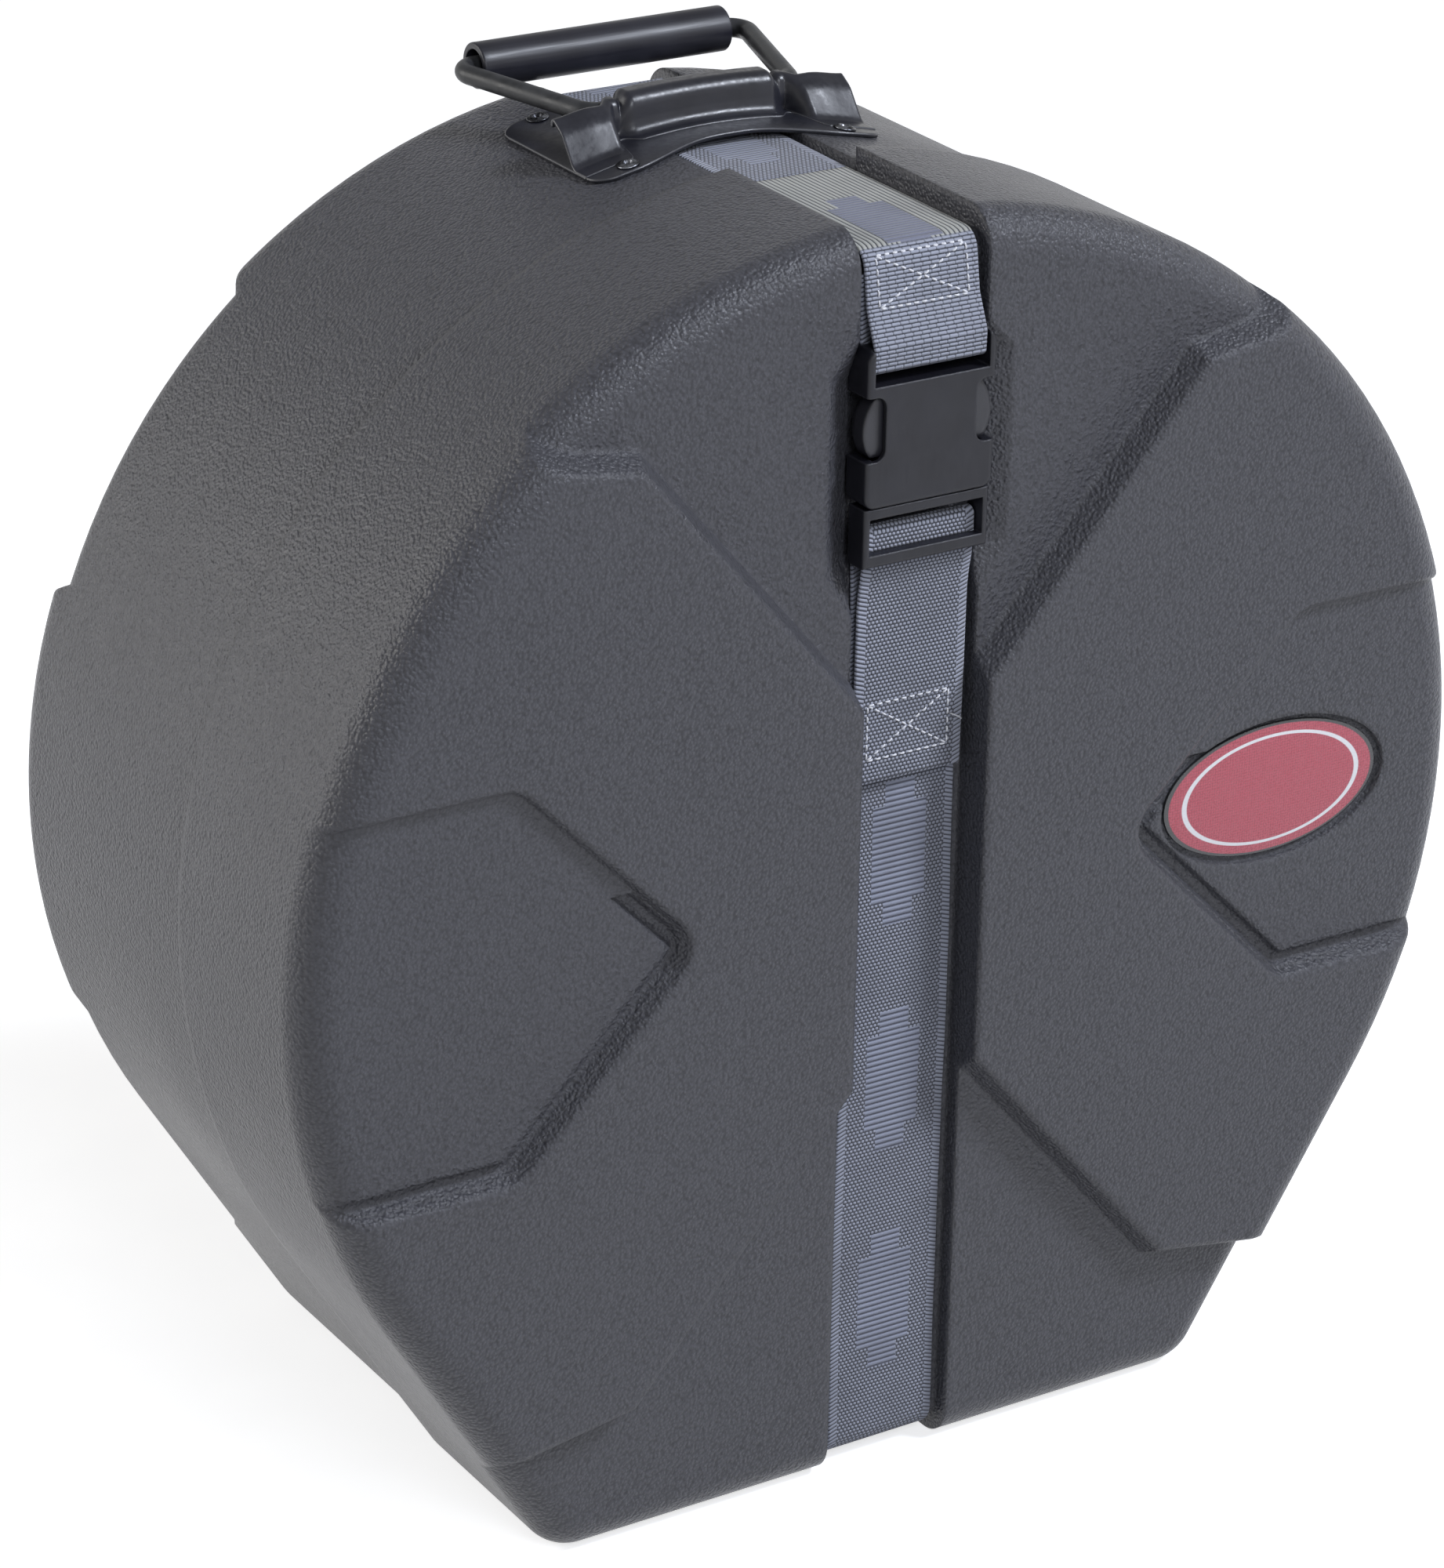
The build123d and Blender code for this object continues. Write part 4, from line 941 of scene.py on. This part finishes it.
def pad(name, node, body, front_side):
    """A turned pad, flat behind, with rounded edges. Its face, which is the front one where
    front_side is true, dips by dip (1 + sine of radius / dip_reach times cosine of 3 turns)."""
    low, high = corners_of(node)
    outer, thick = (high[2] - low[2]) / 2, high[1] - low[1]
    face, way = (low[1], 1.0) if front_side else (high[1], -1.0)
    bend = np.linspace(0, pi / 2, 7)
    flat = outer - pad_edge
    rim_out, rim_in = pad_edge * np.sin(bend), pad_edge * np.cos(bend)
    radius = np.concatenate([np.linspace(0, flat, pad_rings), flat + rim_out, flat + rim_in, [0.0]])
    radius = radius[:, None]
    deep = [np.zeros(pad_rings), pad_edge - rim_in, thick - pad_edge + rim_out, [thick]]
    deep = np.concatenate(deep)[:, None]
    turn = circle(128)
    quilt = dip * (1 + np.sin(radius / dip_reach) * np.cos(3 * turn)) * (deep < 0.5)
    middle = (high[2] + low[2]) / 2
    shape = at(radius * np.cos(turn), face + way * (deep + quilt), middle + radius * np.sin(turn))
    made = mesh_of(name, shape, foam_grey, wrap_columns=True)
    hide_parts(node)
    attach(made, body)


pad("lid_pad", "lid_foam", "lid", False)
pad("base_pad", "base_foam", "base", True)

# %% The wall band
cell_size, rounds_of_relaxing = 0.0035, 4
band_mesh = nodes["wall_foam"].data.copy()
band_mesh.name = "wall_band"
work = bmesh.new()
work.from_mesh(band_mesh)
bmesh.ops.remove_doubles(work, verts=work.verts, dist=1e-5)
work.to_mesh(band_mesh)
work.free()
band = bpy.data.objects.new("wall_band", band_mesh)
bpy.context.scene.collection.objects.link(band)
cells = band.modifiers.new("cells", "REMESH")
cells.mode, cells.voxel_size, cells.use_smooth_shade = "VOXEL", cell_size, True
relax = band.modifiers.new("relax", "SMOOTH")
relax.factor, relax.iterations = 0.5, rounds_of_relaxing
shaped = band.evaluated_get(bpy.context.evaluated_depsgraph_get())
soft_mesh = bpy.data.meshes.new_from_object(shaped)
band.modifiers.clear()
band.data = soft_mesh
soft_mesh.name = "wall_band"
soft_mesh.materials.clear()
soft_mesh.materials.append(foam_grey.material)
soft_mesh.shade_smooth()
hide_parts("wall_foam")
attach(band, "base")
print("wall_band", len(soft_mesh.polygons), "faces")

# %% [markdown]
# ## Floor, world and lamps
# The photograph is a plain product shot on a white sweep, with a soft shadow. Three soft lamps
# make it: a broad neutral one on the left, a little behind the case, a cooler one above the
# camera's side of the front, and a small strong one high at the front right, which draws the
# bright lines on the crests of the relief. The floor is a white sheet that is brighter to the
# camera and to reflections than it is as a light, so it runs out to white and keeps the
# shadow. The world is white to the camera. To reflections its ceiling is dimmer than its
# walls, or else every upward slope would shine, and as a light it is dimmer still.

# %% Floor and world
sheet_glow, half_floor = 0.66, 6.0
floor_sheet = Finish("floor_sheet", roughness=0.9, specular_ior_level=0.1)
watched = floor_sheet.watched()
grain = floor_sheet.noise(floor_sheet.place(), 30.0, 3.0)
paper = floor_sheet.mottle(grain, 0.3, 0.7, (0.80, 0.80, 0.81), (0.83, 0.83, 0.835))
floor_sheet.set("Base Color", floor_sheet.blend(watched, (0.40, 0.40, 0.41), paper))
floor_sheet.shader.inputs["Emission Color"].default_value = (1.0, 1.0, 1.0, 1.0)
floor_sheet.set("Emission Strength", floor_sheet.product(watched, sheet_glow))
tiles = np.linspace(-half_floor, half_floor, 9)
floor_grid = np.stack(np.broadcast_arrays(tiles[:, None], tiles[None], 0.0), -1)
floor = mesh_of("floor", floor_grid, floor_sheet, closed=False)
turn_up(floor)

as_light, ceiling_share = 0.26, 0.35
world = bpy.data.worlds.new("white_room")
bpy.context.scene.world = world
air = Recipe(world, "Background")
white = air.ramp(air.watched(), 0.0, 1.0, as_light, 1.0)
skyward = air.node("SeparateXYZ", {0: air.node("TexCoord", {}).outputs["Generated"]}).outputs["Z"]
dimmed = air.product(white, air.ramp(skyward, 0.05, 0.6, 1.0, ceiling_share))
straight = air.node("LightPath", {}).outputs["Is Camera Ray"]
air.shader.inputs["Color"].default_value = (1.0, 1.0, 1.0, 1.0)
air.set("Strength", air.sum("MAXIMUM", dimmed, straight))


# %% Lamps
def softbox(name, spot, aim, size, power, colour):
    """A square soft lamp at a spot, facing a point."""
    light = bpy.data.lights.new(name, "AREA")
    light.shape, light.size, light.size_y = "RECTANGLE", *size
    light.energy, light.color = power, colour
    lamp = bpy.data.objects.new(name, light)
    away = np.array(spot, float) - np.array(aim, float)
    away /= np.linalg.norm(away)
    flat = np.cross([0, 0, 1], away)
    flat /= np.linalg.norm(flat)
    turned_frame = np.column_stack([flat, np.cross(away, flat), away, spot])
    lamp.matrix_world = Matrix(np.vstack([turned_frame, [0, 0, 0, 1]]))
    bpy.context.scene.collection.objects.link(lamp)


softbox("left_light", (-1.9, 1.2, 1.05), (0, 0, 0.25), (1.1, 1.2), 27.0, (1.0, 0.985, 0.96))
softbox("front_light", (-0.6, -2.35, 1.9), (0, 0, 0.25), (1.2, 1.0), 26.0, (0.89, 0.93, 1.0))
softbox("crest_light", (1.5, -1.45, 2.4), (0, 0, 0.3), (0.7, 0.6), 66.0, (0.84, 0.89, 1.0))
bpy.context.scene.view_settings.view_transform = "Standard"
